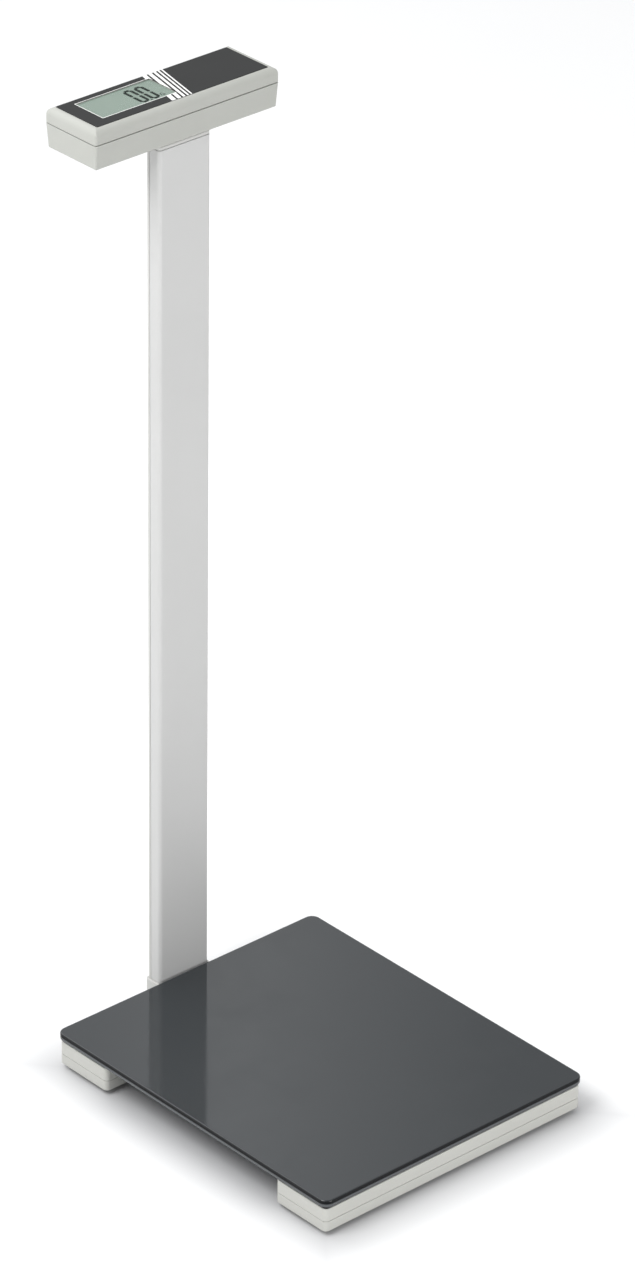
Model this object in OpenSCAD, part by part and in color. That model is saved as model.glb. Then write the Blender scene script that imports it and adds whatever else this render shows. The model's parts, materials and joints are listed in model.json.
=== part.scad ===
// Electronic column scale: a glass platform on two hollow rails, a flat column and a display head.
// X runs left to right, Y from the front edge to the column, Z up from the floor.

/* [Platform] */
// Width of the glass plate
plate_w = 340; // [330:5:380]
// Depth of the glass plate
plate_d = 400; // [380:5:440]
// Height of the glass plate's top above the floor
plate_h = 42; // [42:1:50]
// Thickness of the glass plate
glass_t = 8; // [7:0.5:8]
// Corner radius of the glass plate
glass_r = 10; // [6:1:14]
// Thickness of the rubber gasket that bonds the glass to a rail
gasket_t = 2.6; // [1.5:0.1:2.6]

/* [Rails] */
// Front-to-back size of a rail
rail_d = 72; // [70:1:76]
// Step from the glass edge in to a rail's side
rail_inset = 2.5; // [1.5:0.5:3]
// Space between a rail and the floor
rail_clear = 5.5; // [5.5:0.1:6]
// Height of a rail's lower shell
rail_base_h = 11.3; // [10.5:0.1:11.5]
// Radius of a rail's upright corners
rail_r = 5; // [4:0.5:7]
// Dark seam between two plastic shells
seam = 0.4; // [0.3:0.1:0.8]

/* [Levelling feet] */
// Radius of a foot's rubber pad
foot_r = 13; // [11:0.5:14]
// Radius of a foot's threaded stud
stud_r = 4; // [3:0.5:4]

/* [Column] */
// Width of the column
col_w = 64; // [62:1:66]
// Depth of the column
col_d = 18; // [18:0.5:20]
// Radius of the column's front corners
col_r = 4; // [2:0.5:5]
// Gap between the glass and the column
col_gap = 3; // [3:0.5:6]
// Depth of the strip that closes the column's back
strip_d = 3.6; // [3:0.2:4]
// How far the column's shoe stands proud of the column
shoe_wall = 2.5; // [2:0.5:4]
// Height of the shoe's top above the floor
shoe_h = 38; // [34:1:40]

/* [Display head] */
// Overall height of the scale
total_h = 1000; // [900:10:1100]
// Width of the head
head_w = 226; // [224:1:240]
// Depth of the head
head_d = 73; // [73:1:78]
// Height of the head's two shells together
head_h = 40.5; // [40.5:0.5:42]
// Height of the head's upper shell
lid_h = 12.5; // [12:0.5:13]
// Radius of the head's upright corners
head_r = 3; // [2:0.5:4]
// Radius of the round along the head's top edge
edge_r = 7; // [5:0.5:7.5]
// How far the lower shell narrows on each side
head_taper = 2; // [1.5:0.5:3.5]
// How far the head stands ahead of the column
head_lead = 4.5; // [4.5:0.5:5]

/* [Display] */
// Width of the printed overlay
overlay_w = 210; // [204:1:211]
// Depth of the printed overlay
overlay_d = 60; // [56:1:60]
// Width of the display window
window_w = 90; // [80:1:92]
// Depth of the display window
window_d = 40; // [34:0.5:40]

/* [Hidden] */
$fn = 48;
hull_fn = 32;
touch = 0.01;
ends = [-1, 1];

// Stations along Y. The frame's Y = 0 is the middle of the overall depth.
overall_d = plate_d + col_gap - head_lead + head_d;
front_y = -overall_d / 2;
plate_y = front_y + plate_d / 2;
plate_back_y = front_y + plate_d;
col_y = plate_back_y + col_gap;
col_back_y = col_y + col_d;
head_front_y = col_y - head_lead;
head_y = head_front_y + head_d / 2;
rail_y = plate_d / 2 - rail_inset - rail_d / 2;

// Levels of the platform, from the top down
glass_z = plate_h - glass_t;
rail_top_z = glass_z - gasket_t;
shell = 2.5;
rail_roof = 3;
roof_z = rail_top_z - rail_roof;
stiff_t = 2;
stiff_z = roof_z - stiff_t;
spacer_t = 2;
cell_h = 12;
cell_z = stiff_z - spacer_t - cell_h;
rail_seam_z = rail_clear + rail_base_h;
rail_w = plate_w - 2 * rail_inset;
rail_floor_z = rail_clear + shell;

// Load cells and feet
cell_l = 70;
cell_w = 14;
cell_end = 8;
foot_x = rail_w / 2 - 26;
stud_fit = 0.05;
foot_gap = 0.3;
disc_z = 2.6;
disc_top_z = rail_clear - foot_gap;
cell_bolt_x = [cell_l - 22, cell_l - 10];
rail_screw_x = 45;
rail_screw_y = 26;

// Duct, bracket and column
duct_w = 30;
duct_h = 6;
duct_reach = 18;
duct_screw_x = duct_w / 2 - 4;
duct_screw_y = rail_y - rail_d / 2 + duct_reach - 3;
plate_t = 3;
bracket_w = 56;
bracket_h = 190;
bracket_y = plate_back_y - 50;
bracket_bolt_x = 20;
bracket_bolt_y = [10, 30];
foot_screw_x = 12;
foot_screw_z = [60, 160];
profile_d = col_d - strip_d - 0.6;
profile_front = 3.5;
profile_side = 2;
column_thread = 2.6;
leg_y = col_y + profile_front;
cable_r = 2;
cable_y = leg_y + plate_t + cable_r + 1;
cable_z = rail_seam_z + 3.6;
lead_r = 1.3;
trunk_r = 1.6;
junction_x = -52;
junction_w = 38;
junction_d = 38;
junction_z = cable_z - cable_r - 1.7;
plug_l = 10;
lead_plug_y = -15;
cable_plug_y = -9;
rear_lead_y = lead_plug_y - 1.5;

// Levels of the head, from the top down
overlay_t = 0.5;
lid_top_z = total_h - overlay_t;
lid_z = lid_top_z - lid_h;
head_seam = 0.9;
case_top_z = lid_z - head_seam;
case_z = lid_top_z - head_h;
case_floor_z = case_z + shell;
boss_drop = 1.4;
cap_h = 3.6;
cap_top_z = case_z - boss_drop;
cap_z = cap_top_z - cap_h;
col_top_z = cap_z - seam;
lid_roof = 3;
lens_t = 0.9;
lens_fit = 0.1;
lens_z = total_h - lens_fit - lens_t;
board_z = lid_z - 3.6;
board_t = 1.6;
inner_w = head_w - 2 * shell;
inner_d = head_d - 2 * shell;
cavity_r = 0.5;
case_floor_w = head_w - 2 * head_taper;
case_floor_d = head_d - 2 * head_taper;
head_leg_w = 36;
head_leg_h = 60;
leg_screw_x = 9;
leg_screw_z = col_top_z - 30;
shelf_screw_x = 12;
shelf_screw_y = [18.5, 38];

// Display, power button and battery bay
window_x = -42.8;
window_y = head_y + 2.6;
post_r = 4.5;
post_x = [-38, 100];
post_y = [head_y - 27.5, head_y + 27.5];
button_x = 60;
button_z = case_z + 14;
button_r = 5.5;
button_travel = 1.2;
button_end_y = head_y + head_d / 2 - 0.2;
flange_y = head_y + head_d / 2 - shell - head_taper;
stem_l = 7.5;
bay_x = -74;
cell_r = 7;
cell_pitch = 14.4;
battery_l = 48.5;
battery_y = head_y;
battery_z = case_floor_z + 2.2 + cell_r;
door_w = 58;
door_d = 52;
door_gap = 0.3;
door_t = 2;
hinge_r = 1.4;
hinge_pin_r = 0.9;
hinge_x = bay_x - door_w / 2 + door_gap + hinge_r;
hinge_z = case_z + hinge_r;

plastic = "#d6d6d1";
dark = "#2b2c2d";
steel = "#a9adb0";
zinc = "#c3c6c4";
board_green = "#2f6b45";

// ---------- shared shapes ----------

module round_rect(w, d, r) {
    square([w - 2 * r, d], center = true);
    square([w, d - 2 * r], center = true);
    for (x = ends, y = ends) translate([x * (w / 2 - r), y * (d / 2 - r)]) circle(r);
}

// Upright slab with rounded corners, centred on [x, y], from z upwards
module slab(w, d, h, r, x = 0, y = 0, z = 0) {
    translate([x, y, z]) linear_extrude(h) round_rect(w, d, r);
}

// Plain block centred on [x, y], from z upwards
module block(w, d, h, x = 0, y = 0, z = 0) {
    translate([x - w / 2, y - d / 2, z]) cube([w, d, h]);
}

module disc(r, h, x = 0, y = 0, z = 0) {
    translate([x, y, z]) cylinder(r = r, h = h);
}

// Pan-head screw: its shank runs up from the underside of the head at the origin
module screw(r, l, head_r, head_h) {
    translate([0, 0, -touch]) cylinder(r = r, h = l + touch);
    translate([0, 0, -head_h]) difference() {
        cylinder(r = head_r, h = head_h);
        translate([0, 0, -touch]) cylinder(r = head_r * 0.4, h = head_h * 0.6, $fn = 6);
    }
}

// Round lead that runs straight from point to point
module lead(points, r) {
    for (i = [0:len(points) - 2]) {
        step = points[i + 1] - points[i];
        length = norm(step);
        translate(points[i]) rotate([0, acos(step[2] / length), atan2(step[1], step[0])])
            cylinder(r = r, h = length, $fn = 24);
    }
    for (i = [1:len(points) - 2]) translate(points[i]) sphere(r, $fn = 24);
}

// Opening that the column bracket passes through, with a little clearance all round
module bracket_slot(depth, y) {
    fit = 0.1;
    block(bracket_w + 4 * fit, depth, plate_t + 2 * fit, 0, y, stiff_z - plate_t - fit);
}

// Opening in the cap and the head's floor for the head bracket's leg and the cable
module head_slot(height, z) {
    depth = plate_t + 2 * cable_r + 2;
    block(head_leg_w + 0.4, depth, height, 0, leg_y - 0.2 + depth / 2, z);
}

// Places of the screws that tie the column bracket and the head bracket to the column
module at_column_screws() {
    for (x = ends, z = foot_screw_z) translate([x * foot_screw_x, leg_y, z]) children();
    for (x = ends) translate([x * leg_screw_x, leg_y, leg_screw_z]) children();
}

// Places of the bolts that hold the column bracket under the rear stiffener
module at_bracket_bolts() {
    for (x = ends, y = bracket_bolt_y) translate([x * bracket_bolt_x, bracket_y + y, stiff_z]) children();
}

// Repeats its children at the rail's two ends
module at_ends(x) {
    for (side = ends) translate([side * x, 0, 0]) children();
}

// ---------- platform ----------

module glass_plate() {
    color("#3f4444", 0.8) slab(plate_w, plate_d, glass_t, glass_r, 0, plate_y, glass_z);
}

module gasket(side) {
    lip = 1;
    bond = 20;
    color(dark) translate([0, plate_y + side * rail_y, rail_top_z]) difference() {
        slab(rail_w - 2 * lip, rail_d - 2 * lip, gasket_t, rail_r - lip);
        slab(rail_w - 2 * bond, rail_d - 2 * bond, 3 * gasket_t, rail_r - lip, 0, 0, -gasket_t);
    }
}

module front_gasket() gasket(-1);

module rear_gasket() gasket(1);

// Bosses that take the screws from a rail's lower shell
module rail_bosses(r, z, h) {
    for (x = ends, y = ends) disc(r, h, x * rail_screw_x, y * rail_screw_y, z);
}

// Upper shell of a rail, open below, centred on its own middle
module rail_top_shell(side) {
    wall_y = -side * (rail_d / 2 - shell / 2);
    inner_r = rail_r - shell;
    difference() {
        slab(rail_w, rail_d, rail_top_z - rail_seam_z - seam, rail_r, 0, 0, rail_seam_z + seam);
        slab(rail_w - 2 * shell, rail_d - 2 * shell, roof_z - rail_seam_z, inner_r, 0, 0, rail_seam_z);
        block(duct_w + 0.4, shell + 2, duct_h + 0.2, 0, wall_y, stiff_z - duct_h - 0.1);
    }
    difference() {
        rail_bosses(post_r, rail_seam_z + seam, roof_z - rail_seam_z - seam + touch);
        rail_bosses(1.5, rail_seam_z, roof_z - rail_seam_z - 1);
    }
}

// Lower shell of a rail with its tongue, screw posts and stud holes
module rail_base_shell() {
    tongue = 1.2;
    tongue_h = 3;
    fit = 0.1;
    inner_w = rail_w - 2 * shell - 2 * fit;
    inner_d = rail_d - 2 * shell - 2 * fit;
    difference() {
        union() {
            difference() {
                slab(rail_w, rail_d, rail_base_h, rail_r);
                translate([0, 0, shell])
                    slab(rail_w - 2 * shell, rail_d - 2 * shell, rail_base_h, rail_r - shell);
            }
            difference() {
                slab(inner_w, inner_d, rail_base_h + tongue_h, rail_r - shell);
                translate([0, 0, -1])
                    slab(inner_w - 2 * tongue, inner_d - 2 * tongue, rail_base_h + tongue_h + 2, 1);
                translate([0, 0, rail_base_h]) block(duct_w + 4, rail_d + 2, tongue_h + 1);
            }
            rail_bosses(post_r, 0, rail_base_h);
        }
        rail_bosses(1.8, -1, rail_base_h + 2);
        rail_bosses(3.3, -1, 4);
        at_ends(foot_x) disc(stud_r + 1.5, shell + 2, 0, 0, -1);
    }
}

module front_rail_top() {
    color(plastic) translate([0, plate_y - rail_y, 0]) rail_top_shell(-1);
}

module front_rail_base() {
    color(plastic) translate([0, plate_y - rail_y, rail_clear]) rail_base_shell();
}

// The rear rail also lets the column bracket and the signal cable out through its back wall
module rear_rail_top() {
    color(plastic) difference() {
        translate([0, plate_y + rail_y, 0]) rail_top_shell(1);
        bracket_slot(2 * shell + 4, plate_back_y - rail_inset);
        translate([0, plate_back_y - rail_inset + 2, cable_z])
            rotate([90, 0, 0]) cylinder(r = cable_r + 0.3, h = 2 * shell + 2);
    }
}

module rear_rail_base() {
    color(plastic) difference() {
        translate([0, plate_y + rail_y, rail_clear]) rail_base_shell();
        block(2 * cable_r + 1, 14, 4, 0, plate_back_y - rail_inset - shell - 4, rail_seam_z + touch);
    }
}

// Steel plate along the rail's roof that carries the load cells
module stiffener(side) {
    color(steel) difference() {
        slab(rail_w - 20, rail_d - 24, stiff_t, 3, 0, plate_y + side * rail_y, stiff_z);
        for (x = ends, b = cell_bolt_x)
            disc(2.5, stiff_t + 2, x * (foot_x + cell_end - b), plate_y + side * rail_y, stiff_z - 1);
        for (x = ends) disc(1.2, stiff_t + 2, x * duct_screw_x, plate_y + side * duct_screw_y, stiff_z - 1);
        at_bracket_bolts() disc(3, stiff_t + 2, 0, 0, -1);
        translate([0, plate_y + side * rail_y, 0]) rail_bosses(post_r + 0.5, stiff_z - 1, stiff_t + 2);
    }
}

module front_stiffener() stiffener(-1);

module rear_stiffener() stiffener(1);

// Bending-beam cell: x = 0 is the foot's axis, and the beam runs inboard along -X
module beam_cell() {
    waist = 4;
    difference() {
        translate([cell_end - cell_l, -cell_w / 2, 0]) cube([cell_l, cell_w, cell_h]);
        disc(stud_r + stud_fit, cell_h + 2, 0, 0, -1);
        for (b = cell_bolt_x) disc(2.5, cell_h + 2, cell_end - b, 0, -1);
        for (x = [-16, -28]) translate([x, cell_w / 2 + 1, cell_h / 2])
            rotate([90, 0, 0]) cylinder(r = waist, h = cell_w + 2);
        translate([-28, -cell_w / 2 - 1, cell_h / 2 - 1.5]) cube([12, cell_w + 2, 3]);
    }
}

module load_cell(x, y) {
    color("#b9bcbd") translate([x * foot_x, plate_y + y * rail_y, cell_z])
        rotate([0, 0, x > 0 ? 0 : 180]) beam_cell();
}

module load_cell_front_left() load_cell(-1, -1);

module load_cell_front_right() load_cell(1, -1);

module load_cell_rear_left() load_cell(-1, 1);

module load_cell_rear_right() load_cell(1, 1);

module load_cell_spacers() {
    length = 26;
    root_x = foot_x + cell_end - cell_l;
    z = cell_z + cell_h;
    color(zinc) for (x = ends, y = ends) translate([x * root_x, plate_y + y * rail_y, z]) difference() {
        block(length, cell_w, spacer_t, x * length / 2);
        for (b = cell_bolt_x) disc(2.5, spacer_t + 2, x * (cell_l - b), 0, -1);
    }
}

module load_cell_screws() {
    color(zinc) for (x = ends, y = ends, b = cell_bolt_x)
        translate([x * (foot_x + cell_end - b), plate_y + y * rail_y, cell_z])
            screw(2.5, cell_h + spacer_t + stiff_t, 4, 3);
}

// Turned steel foot: disc and threaded stud in one
module foot(x, y) {
    color(steel) translate([x * foot_x, plate_y + y * rail_y, 0]) {
        disc(foot_r - 1, disc_top_z - disc_z, 0, 0, disc_z);
        disc(stud_r, cell_z + cell_h - 0.5 - disc_z, 0, 0, disc_z);
    }
}

// Rubber pad stuck under the foot's disc
module pad(x, y) {
    color(dark) translate([x * foot_x, plate_y + y * rail_y, 0]) rotate_extrude() difference() {
        square([foot_r, disc_z]);
        translate([foot_r, 0]) rotate(45) square(1, center = true);
    }
}

module foot_front_left() foot(-1, -1);

module foot_front_right() foot(1, -1);

module foot_rear_left() foot(-1, 1);

module foot_rear_right() foot(1, 1);

module pad_front_left() pad(-1, -1);

module pad_front_right() pad(1, -1);

module pad_rear_left() pad(-1, 1);

module pad_rear_right() pad(1, 1);

module rail_screws() {
    color(zinc) for (x = ends, y = ends, side = ends)
        translate([x * rail_screw_x, plate_y + side * rail_y + y * rail_screw_y, rail_clear + 3])
            screw(1.5, roof_z - rail_clear - 5, 2.9, 2);
}

// Flat steel tube that ties the rails together and hides the front leads
module cable_duct() {
    length = 2 * (rail_y - rail_d / 2 + duct_reach);
    wall = 1.2;
    color(steel) difference() {
        block(duct_w, length, duct_h, 0, plate_y, stiff_z - duct_h);
        block(duct_w - 2 * wall, length + 2, duct_h - 2 * wall, 0, plate_y, stiff_z - duct_h + wall);
        for (x = ends, y = ends)
            disc(1.2, duct_h + 2, x * duct_screw_x, plate_y + y * duct_screw_y, stiff_z - duct_h - 1);
    }
}

module duct_screws() {
    color(zinc) for (x = ends, y = ends)
        translate([x * duct_screw_x, plate_y + y * duct_screw_y, stiff_z - duct_h])
            screw(1.2, duct_h + stiff_t, 2.4, 1.6);
}

// Board that hangs from the rear stiffener, with a plug for the leads and one for the signal cable
module junction_board() {
    post_h = stiff_z - junction_z - board_t;
    plug_x = junction_w / 2 - plug_l / 2;
    color(board_green) translate([junction_x, plate_y + rail_y, junction_z]) {
        block(junction_w, junction_d, board_t);
        for (x = [-15, 4], y = ends) disc(2, post_h + touch, x, y * 13, board_t - touch);
        block(plug_l, 7, 7, plug_x, lead_plug_y, board_t - touch);
        block(plug_l, 4.6, 5, plug_x, cable_plug_y, board_t - touch);
    }
}

// The front cells' lead, with a trunk through the duct to the junction board
module front_leads() {
    x = foot_x + cell_end - cell_l + 6;
    z = stiff_z - duct_h / 2;
    cell_y = plate_y - rail_y;
    face_y = cell_y + cell_w / 2;
    run_y = cell_y + 12;
    plug_y = plate_y + rail_y + lead_plug_y + 1.4;
    color("#c8c4bb") {
        lead([[-x, face_y, z], [-x, run_y, z], [x, run_y, z], [x, face_y, z]], lead_r);
        lead([[0, run_y, z], [0, plug_y, z], [junction_x + junction_w / 2, plug_y, z]], trunk_r);
    }
}

// One lead from each rear cell to its side of the junction board's plug
module rear_leads() {
    x = foot_x + cell_end - cell_l + 6;
    z = stiff_z - duct_h;
    cell_y = plate_y + rail_y;
    run_y = cell_y + rear_lead_y;
    plug_x = junction_x + junction_w / 2 - plug_l / 2;
    color("#c8c4bb") for (side = ends)
        lead([[side * x, cell_y - cell_w / 2, z], [side * x, run_y, z],
            [plug_x + side * plug_l / 2, run_y, z]], lead_r);
}

// ---------- column ----------

// Outline of the column: round front corners, square back
module column_outline(depth) {
    square_y = depth - col_r;
    translate([0, col_r + square_y / 2]) square([col_w, square_y], center = true);
    translate([0, col_r / 2]) square([col_w - 2 * col_r, col_r + 2 * touch], center = true);
    for (x = ends) translate([x * (col_w / 2 - col_r), col_r]) circle(col_r);
}

// Bent steel bracket: a foot under the rear stiffener and a leg up inside the column
module column_bracket() {
    foot_l = leg_y + plate_t - bracket_y;
    color(steel) difference() {
        union() {
            block(bracket_w, foot_l, plate_t, 0, bracket_y + foot_l / 2, stiff_z - plate_t);
            block(bracket_w - 4, plate_t, bracket_h, 0, leg_y + plate_t / 2, stiff_z - plate_t);
        }
        at_bracket_bolts() disc(3, plate_t + 2, 0, 0, -plate_t - 1);
        at_column_screws() rotate([-90, 0, 0]) translate([0, 0, -1]) cylinder(r = 2.5, h = plate_t + 2);
    }
}

module bracket_bolts() {
    color(zinc) at_bracket_bolts() translate([0, 0, -plate_t]) screw(3, plate_t + stiff_t - 0.2, 5, 3);
}

// Plastic shoe around the column's foot, with a neck to the rear rail
module column_shoe() {
    w = col_w + 2 * shoe_wall;
    d = col_d + 2 * shoe_wall - 1;
    y = col_y + col_d / 2 + 0.5;
    fit = 0.1;
    neck_y = plate_back_y - rail_inset;
    neck_d = col_y - neck_y;
    color(plastic) difference() {
        union() {
            slab(w, d, shoe_h - rail_clear, col_r, 0, y, rail_clear);
            block(col_w, neck_d, rail_top_z - 2 - rail_clear, 0, neck_y + neck_d / 2, rail_clear);
        }
        block(col_w + 2 * fit, col_d + 2 * fit, shoe_h, 0, col_y + col_d / 2, rail_floor_z);
        bracket_slot(14, plate_back_y);
        translate([0, col_y + 2, cable_z]) rotate([90, 0, 0]) cylinder(r = cable_r + 0.3, h = 14);
    }
}

module column_profile() {
    h = col_top_z - rail_floor_z;
    color(plastic) difference() {
        translate([0, col_y, rail_floor_z]) linear_extrude(h) difference() {
            column_outline(profile_d);
            translate([0, profile_front + profile_d / 2])
                square([col_w - 2 * profile_side, profile_d], center = true);
        }
        bracket_slot(2 * profile_front + 2, col_y);
        translate([0, col_y + profile_front + 1, cable_z])
            rotate([90, 0, 0]) cylinder(r = cable_r + 0.3, h = profile_front + 2);
        at_column_screws() rotate([-90, 0, 0])
            translate([0, 0, -column_thread]) cylinder(r = 2.5, h = column_thread + 1);
    }
}

// Screws that hold both brackets to the column's front wall, driven from behind
module column_screws() {
    color(zinc) at_column_screws() translate([0, plate_t, 0]) rotate([90, 0, 0])
        screw(2.5, plate_t + column_thread, 4, 2.4);
}

// Strip that closes the column's back, with two ribs that grip the profile
module column_rear_strip() {
    rib = 1.6;
    rib_d = 6;
    rib_x = col_w / 2 - profile_side - 0.2 - rib / 2;
    h = col_top_z - rail_floor_z;
    color(plastic) {
        block(col_w, strip_d, h, 0, col_back_y - strip_d / 2, rail_floor_z);
        for (x = ends)
            block(rib, rib_d, h - 12, x * rib_x, col_back_y - strip_d - rib_d / 2 + touch, rail_floor_z);
    }
}

module column_cap() {
    color(plastic) difference() {
        translate([0, col_y, cap_z]) linear_extrude(cap_h) column_outline(col_d);
        head_slot(cap_h + 2, cap_z - 1);
    }
}

// Lead from the junction board up the column to the main board
module signal_cable() {
    board_y = plate_y + rail_y + cable_plug_y;
    board_edge_x = junction_x + junction_w / 2;
    top_z = board_z - 4;
    color("#4a4c4e") lead([[board_edge_x, board_y, cable_z], [0, board_y, cable_z], [0, cable_y, cable_z],
        [0, cable_y, top_z], [0, head_y, top_z], [0, head_y, board_z]], cable_r);
}

// ---------- display head ----------

// Bent steel bracket: a leg down inside the column and a shelf on the head's floor
module head_bracket() {
    shelf_l = 46;
    shelf_t = 2.5;
    color(steel) difference() {
        translate([0, leg_y, case_floor_z]) {
            block(head_leg_w, plate_t, head_leg_h + shelf_t, 0, plate_t / 2, -head_leg_h);
            block(head_leg_w, shelf_l, shelf_t, 0, shelf_l / 2);
        }
        disc(cable_r + 0.8, shelf_t + 2, 0, cable_y, case_floor_z - 1);
        at_shelf_screws() disc(2, shelf_t + shell + 2);
        at_column_screws() rotate([-90, 0, 0]) translate([0, 0, -1]) cylinder(r = 2.5, h = plate_t + 2);
    }
}

// Places of the screws that hold the head on its bracket
module at_shelf_screws() {
    for (x = ends, y = shelf_screw_y) translate([x * shelf_screw_x, leg_y + y, case_z]) children();
}

module head_bracket_screws() {
    color(zinc) at_shelf_screws() translate([0, 0, 1]) screw(2, shell + 3, 3.4, 1);
}

// Posts at the four places where lid, board and case are screwed together
module at_posts() {
    for (x = post_x, y = post_y) translate([x, y, 0]) children();
}

// Outside of the lower shell: a block that narrows downwards
module case_solid() {
    hull() {
        slab(head_w, head_d, 0.1, head_r, 0, head_y, case_top_z - 0.1, $fn = hull_fn);
        slab(case_floor_w, case_floor_d, 0.1, head_r - 0.5, 0, head_y, case_z, $fn = hull_fn);
    }
}

module case_cavity() {
    hull() {
        slab(inner_w, inner_d, 0.1, cavity_r, 0, head_y, case_top_z, $fn = hull_fn);
        slab(case_floor_w - 2 * shell, case_floor_d - 2 * shell, 0.1, cavity_r,
            0, head_y, case_floor_z, $fn = hull_fn);
    }
}

module head_case() {
    ear = 3.4;
    ear_y = door_d / 2 + ear / 2;
    boss_w = col_w + 10;
    boss_d = col_d + 5;
    color(plastic) difference() {
        union() {
            difference() {
                case_solid();
                case_cavity();
            }
            slab(boss_w, boss_d, boss_drop + touch, col_r, 0, col_y + boss_d / 2, case_z - boss_drop);
            at_posts() disc(post_r, board_z - case_z, 0, 0, case_z);
            for (y = ends) block(5, ear, shell + 0.6, hinge_x, battery_y + y * ear_y, case_z);
            difference() {
                slab(inner_w - 0.2, inner_d - 0.2, 5, cavity_r, 0, head_y, case_top_z - 2);
                slab(inner_w - 2.6, inner_d - 2.6, 7, cavity_r, 0, head_y, case_top_z - 3);
            }
        }
        at_posts() {
            disc(1.6, board_z, 0, 0, case_z - 1);
            disc(3.4, 5, 0, 0, case_z - 1);
        }
        head_slot(shell + boss_drop + 2, case_z - boss_drop - 1);
        at_shelf_screws() {
            disc(2, shell + 2);
            disc(3.5, boss_drop + 2, 0, 0, -boss_drop - 1);
        }
        block(door_w, door_d, shell + 2, bay_x, battery_y, case_z - 1);
        for (y = ends) translate([hinge_x, battery_y + y * ear_y + ear / 2 + 1, hinge_z])
            rotate([90, 0, 0]) cylinder(r = hinge_pin_r + stud_fit, h = ear + 2);
        translate([button_x, head_y + head_d / 2 - 10, button_z])
            rotate([-90, 0, 0]) cylinder(r = button_r + 0.3, h = 12);
    }
}

// Bar with the lid's height and two round upper edges
module arch(w, length) {
    linear_extrude(length + 2, center = true) {
        translate([-w / 2, 0]) square([w, lid_h - edge_r]);
        translate([edge_r - w / 2, 0]) square([w - 2 * edge_r, lid_h]);
        for (x = ends) translate([x * (w / 2 - edge_r), lid_h - edge_r]) circle(edge_r);
    }
}

// Upper shell: a shallow lid with a large round along its top edge
module head_lid() {
    roof_h = lid_top_z - lid_roof - board_z;
    color(plastic) {
        difference() {
            intersection() {
                slab(head_w, head_d, lid_h, head_r, 0, head_y, lid_z);
                translate([0, head_y, lid_z]) rotate([90, 0, 90]) arch(head_d, head_w);
                translate([0, head_y, lid_z]) rotate([90, 0, 0]) arch(head_w, head_d);
            }
            slab(inner_w, inner_d, lid_h - lid_roof + 1, cavity_r, 0, head_y, lid_z - 1);
            block(window_w, window_d, lid_roof + 2, window_x, window_y, lid_top_z - lid_roof - 1);
        }
        at_posts() difference() {
            disc(post_r - 1, roof_h - board_t + touch, 0, 0, board_z + board_t);
            disc(1.4, roof_h - 1, 0, 0, board_z);
        }
    }
}

module head_screws() {
    color(zinc) at_posts() translate([0, 0, case_z + 4]) screw(1.4, lid_z - case_z + 2, 2.9, 2);
}

module overlay() {
    color("#46474a") difference() {
        slab(overlay_w, overlay_d, overlay_t, 1, 0, head_y + 0.5, lid_top_z);
        block(window_w, window_d, overlay_t + 2, window_x, window_y, lid_top_z - 1);
    }
}

// Thin clear window, flush with the overlay, on the liquid-crystal glass
module display_window() {
    color("#cfdad2", 0.4)
        block(window_w - 2 * lens_fit, window_d - 2 * lens_fit, lens_t, window_x, window_y, lens_z);
}

// Liquid-crystal module: a glass cell that fills the lid's opening, on a frame that stands on the board
module display_module() {
    w = window_w + 5;
    d = window_d + 2;
    wall = 2;
    gap = 0.3;
    foot_z = board_z + board_t;
    top_z = lid_top_z - lid_roof;
    color("#9fae9f") translate([window_x, window_y, top_z - touch])
        block(window_w - 2 * gap, window_d - 2 * gap, lens_z - top_z + touch);
    color(dark) difference() {
        block(w, d, top_z - foot_z, window_x, window_y, foot_z);
        block(w - 2 * wall, d - 2 * wall, top_z - foot_z - wall, window_x, window_y, foot_z - touch);
    }
}

module main_board() {
    w = 204;
    d = 61;
    color(board_green) difference() {
        block(w, d, board_t, 4, head_y, board_z);
        at_posts() disc(1.6, board_t + 2, 0, 0, board_z - 1);
        disc(cable_r + 0.1, board_t + 2, 0, head_y, board_z - 1);
    }
    color(dark) {
        block(14, 14, 2, 52, head_y, board_z + board_t - touch);
        block(8, 5, 2, 78, head_y - 8, board_z + board_t - touch);
    }
}

// Button on the head's back wall: a cap, a flange inside the wall and a stem
module power_button() {
    flange_t = 1.5;
    color("#8d9093") translate([button_x, 0, button_z]) rotate([-90, 0, 0]) {
        translate([0, 0, flange_y - 1]) cylinder(r = button_r, h = button_end_y - flange_y + 1);
        translate([0, 0, flange_y - flange_t]) cylinder(r = button_r + 1.5, h = flange_t);
        translate([0, 0, flange_y - stem_l]) cylinder(r = 2, h = stem_l);
    }
}

module power_switch() {
    face_y = flange_y - stem_l - button_travel - 0.3;
    color(dark) {
        block(8, 4, board_z - button_z + 4, button_x, face_y - 2.8, button_z - 4);
        translate([button_x, face_y - 1, button_z]) rotate([-90, 0, 0]) cylinder(r = 1.6, h = 1);
    }
}

// Frame around the cells, open towards the door
module battery_tray() {
    w = 4 * cell_pitch + 4.4;
    d = battery_l + 10;
    wall = 1.4;
    z = case_floor_z + 0.7;
    h = 2 * cell_r + 3;
    color(dark) {
        difference() {
            block(w, d, h, bay_x, battery_y, z);
            block(w - 2 * wall, d - 2 * wall, h, bay_x, battery_y, z - wall);
        }
        for (x = ends) disc(2.5, board_z - z - h + touch, bay_x + x * 16, battery_y, z + h - touch);
    }
}

// The four cells' places; each lies along Y, the other way round from its neighbour
module at_cells() {
    for (i = [0:3]) translate([bay_x + (i - 1.5) * cell_pitch, battery_y, battery_z])
        rotate([i % 2 == 0 ? 90 : -90, 0, 0]) children();
}

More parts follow.
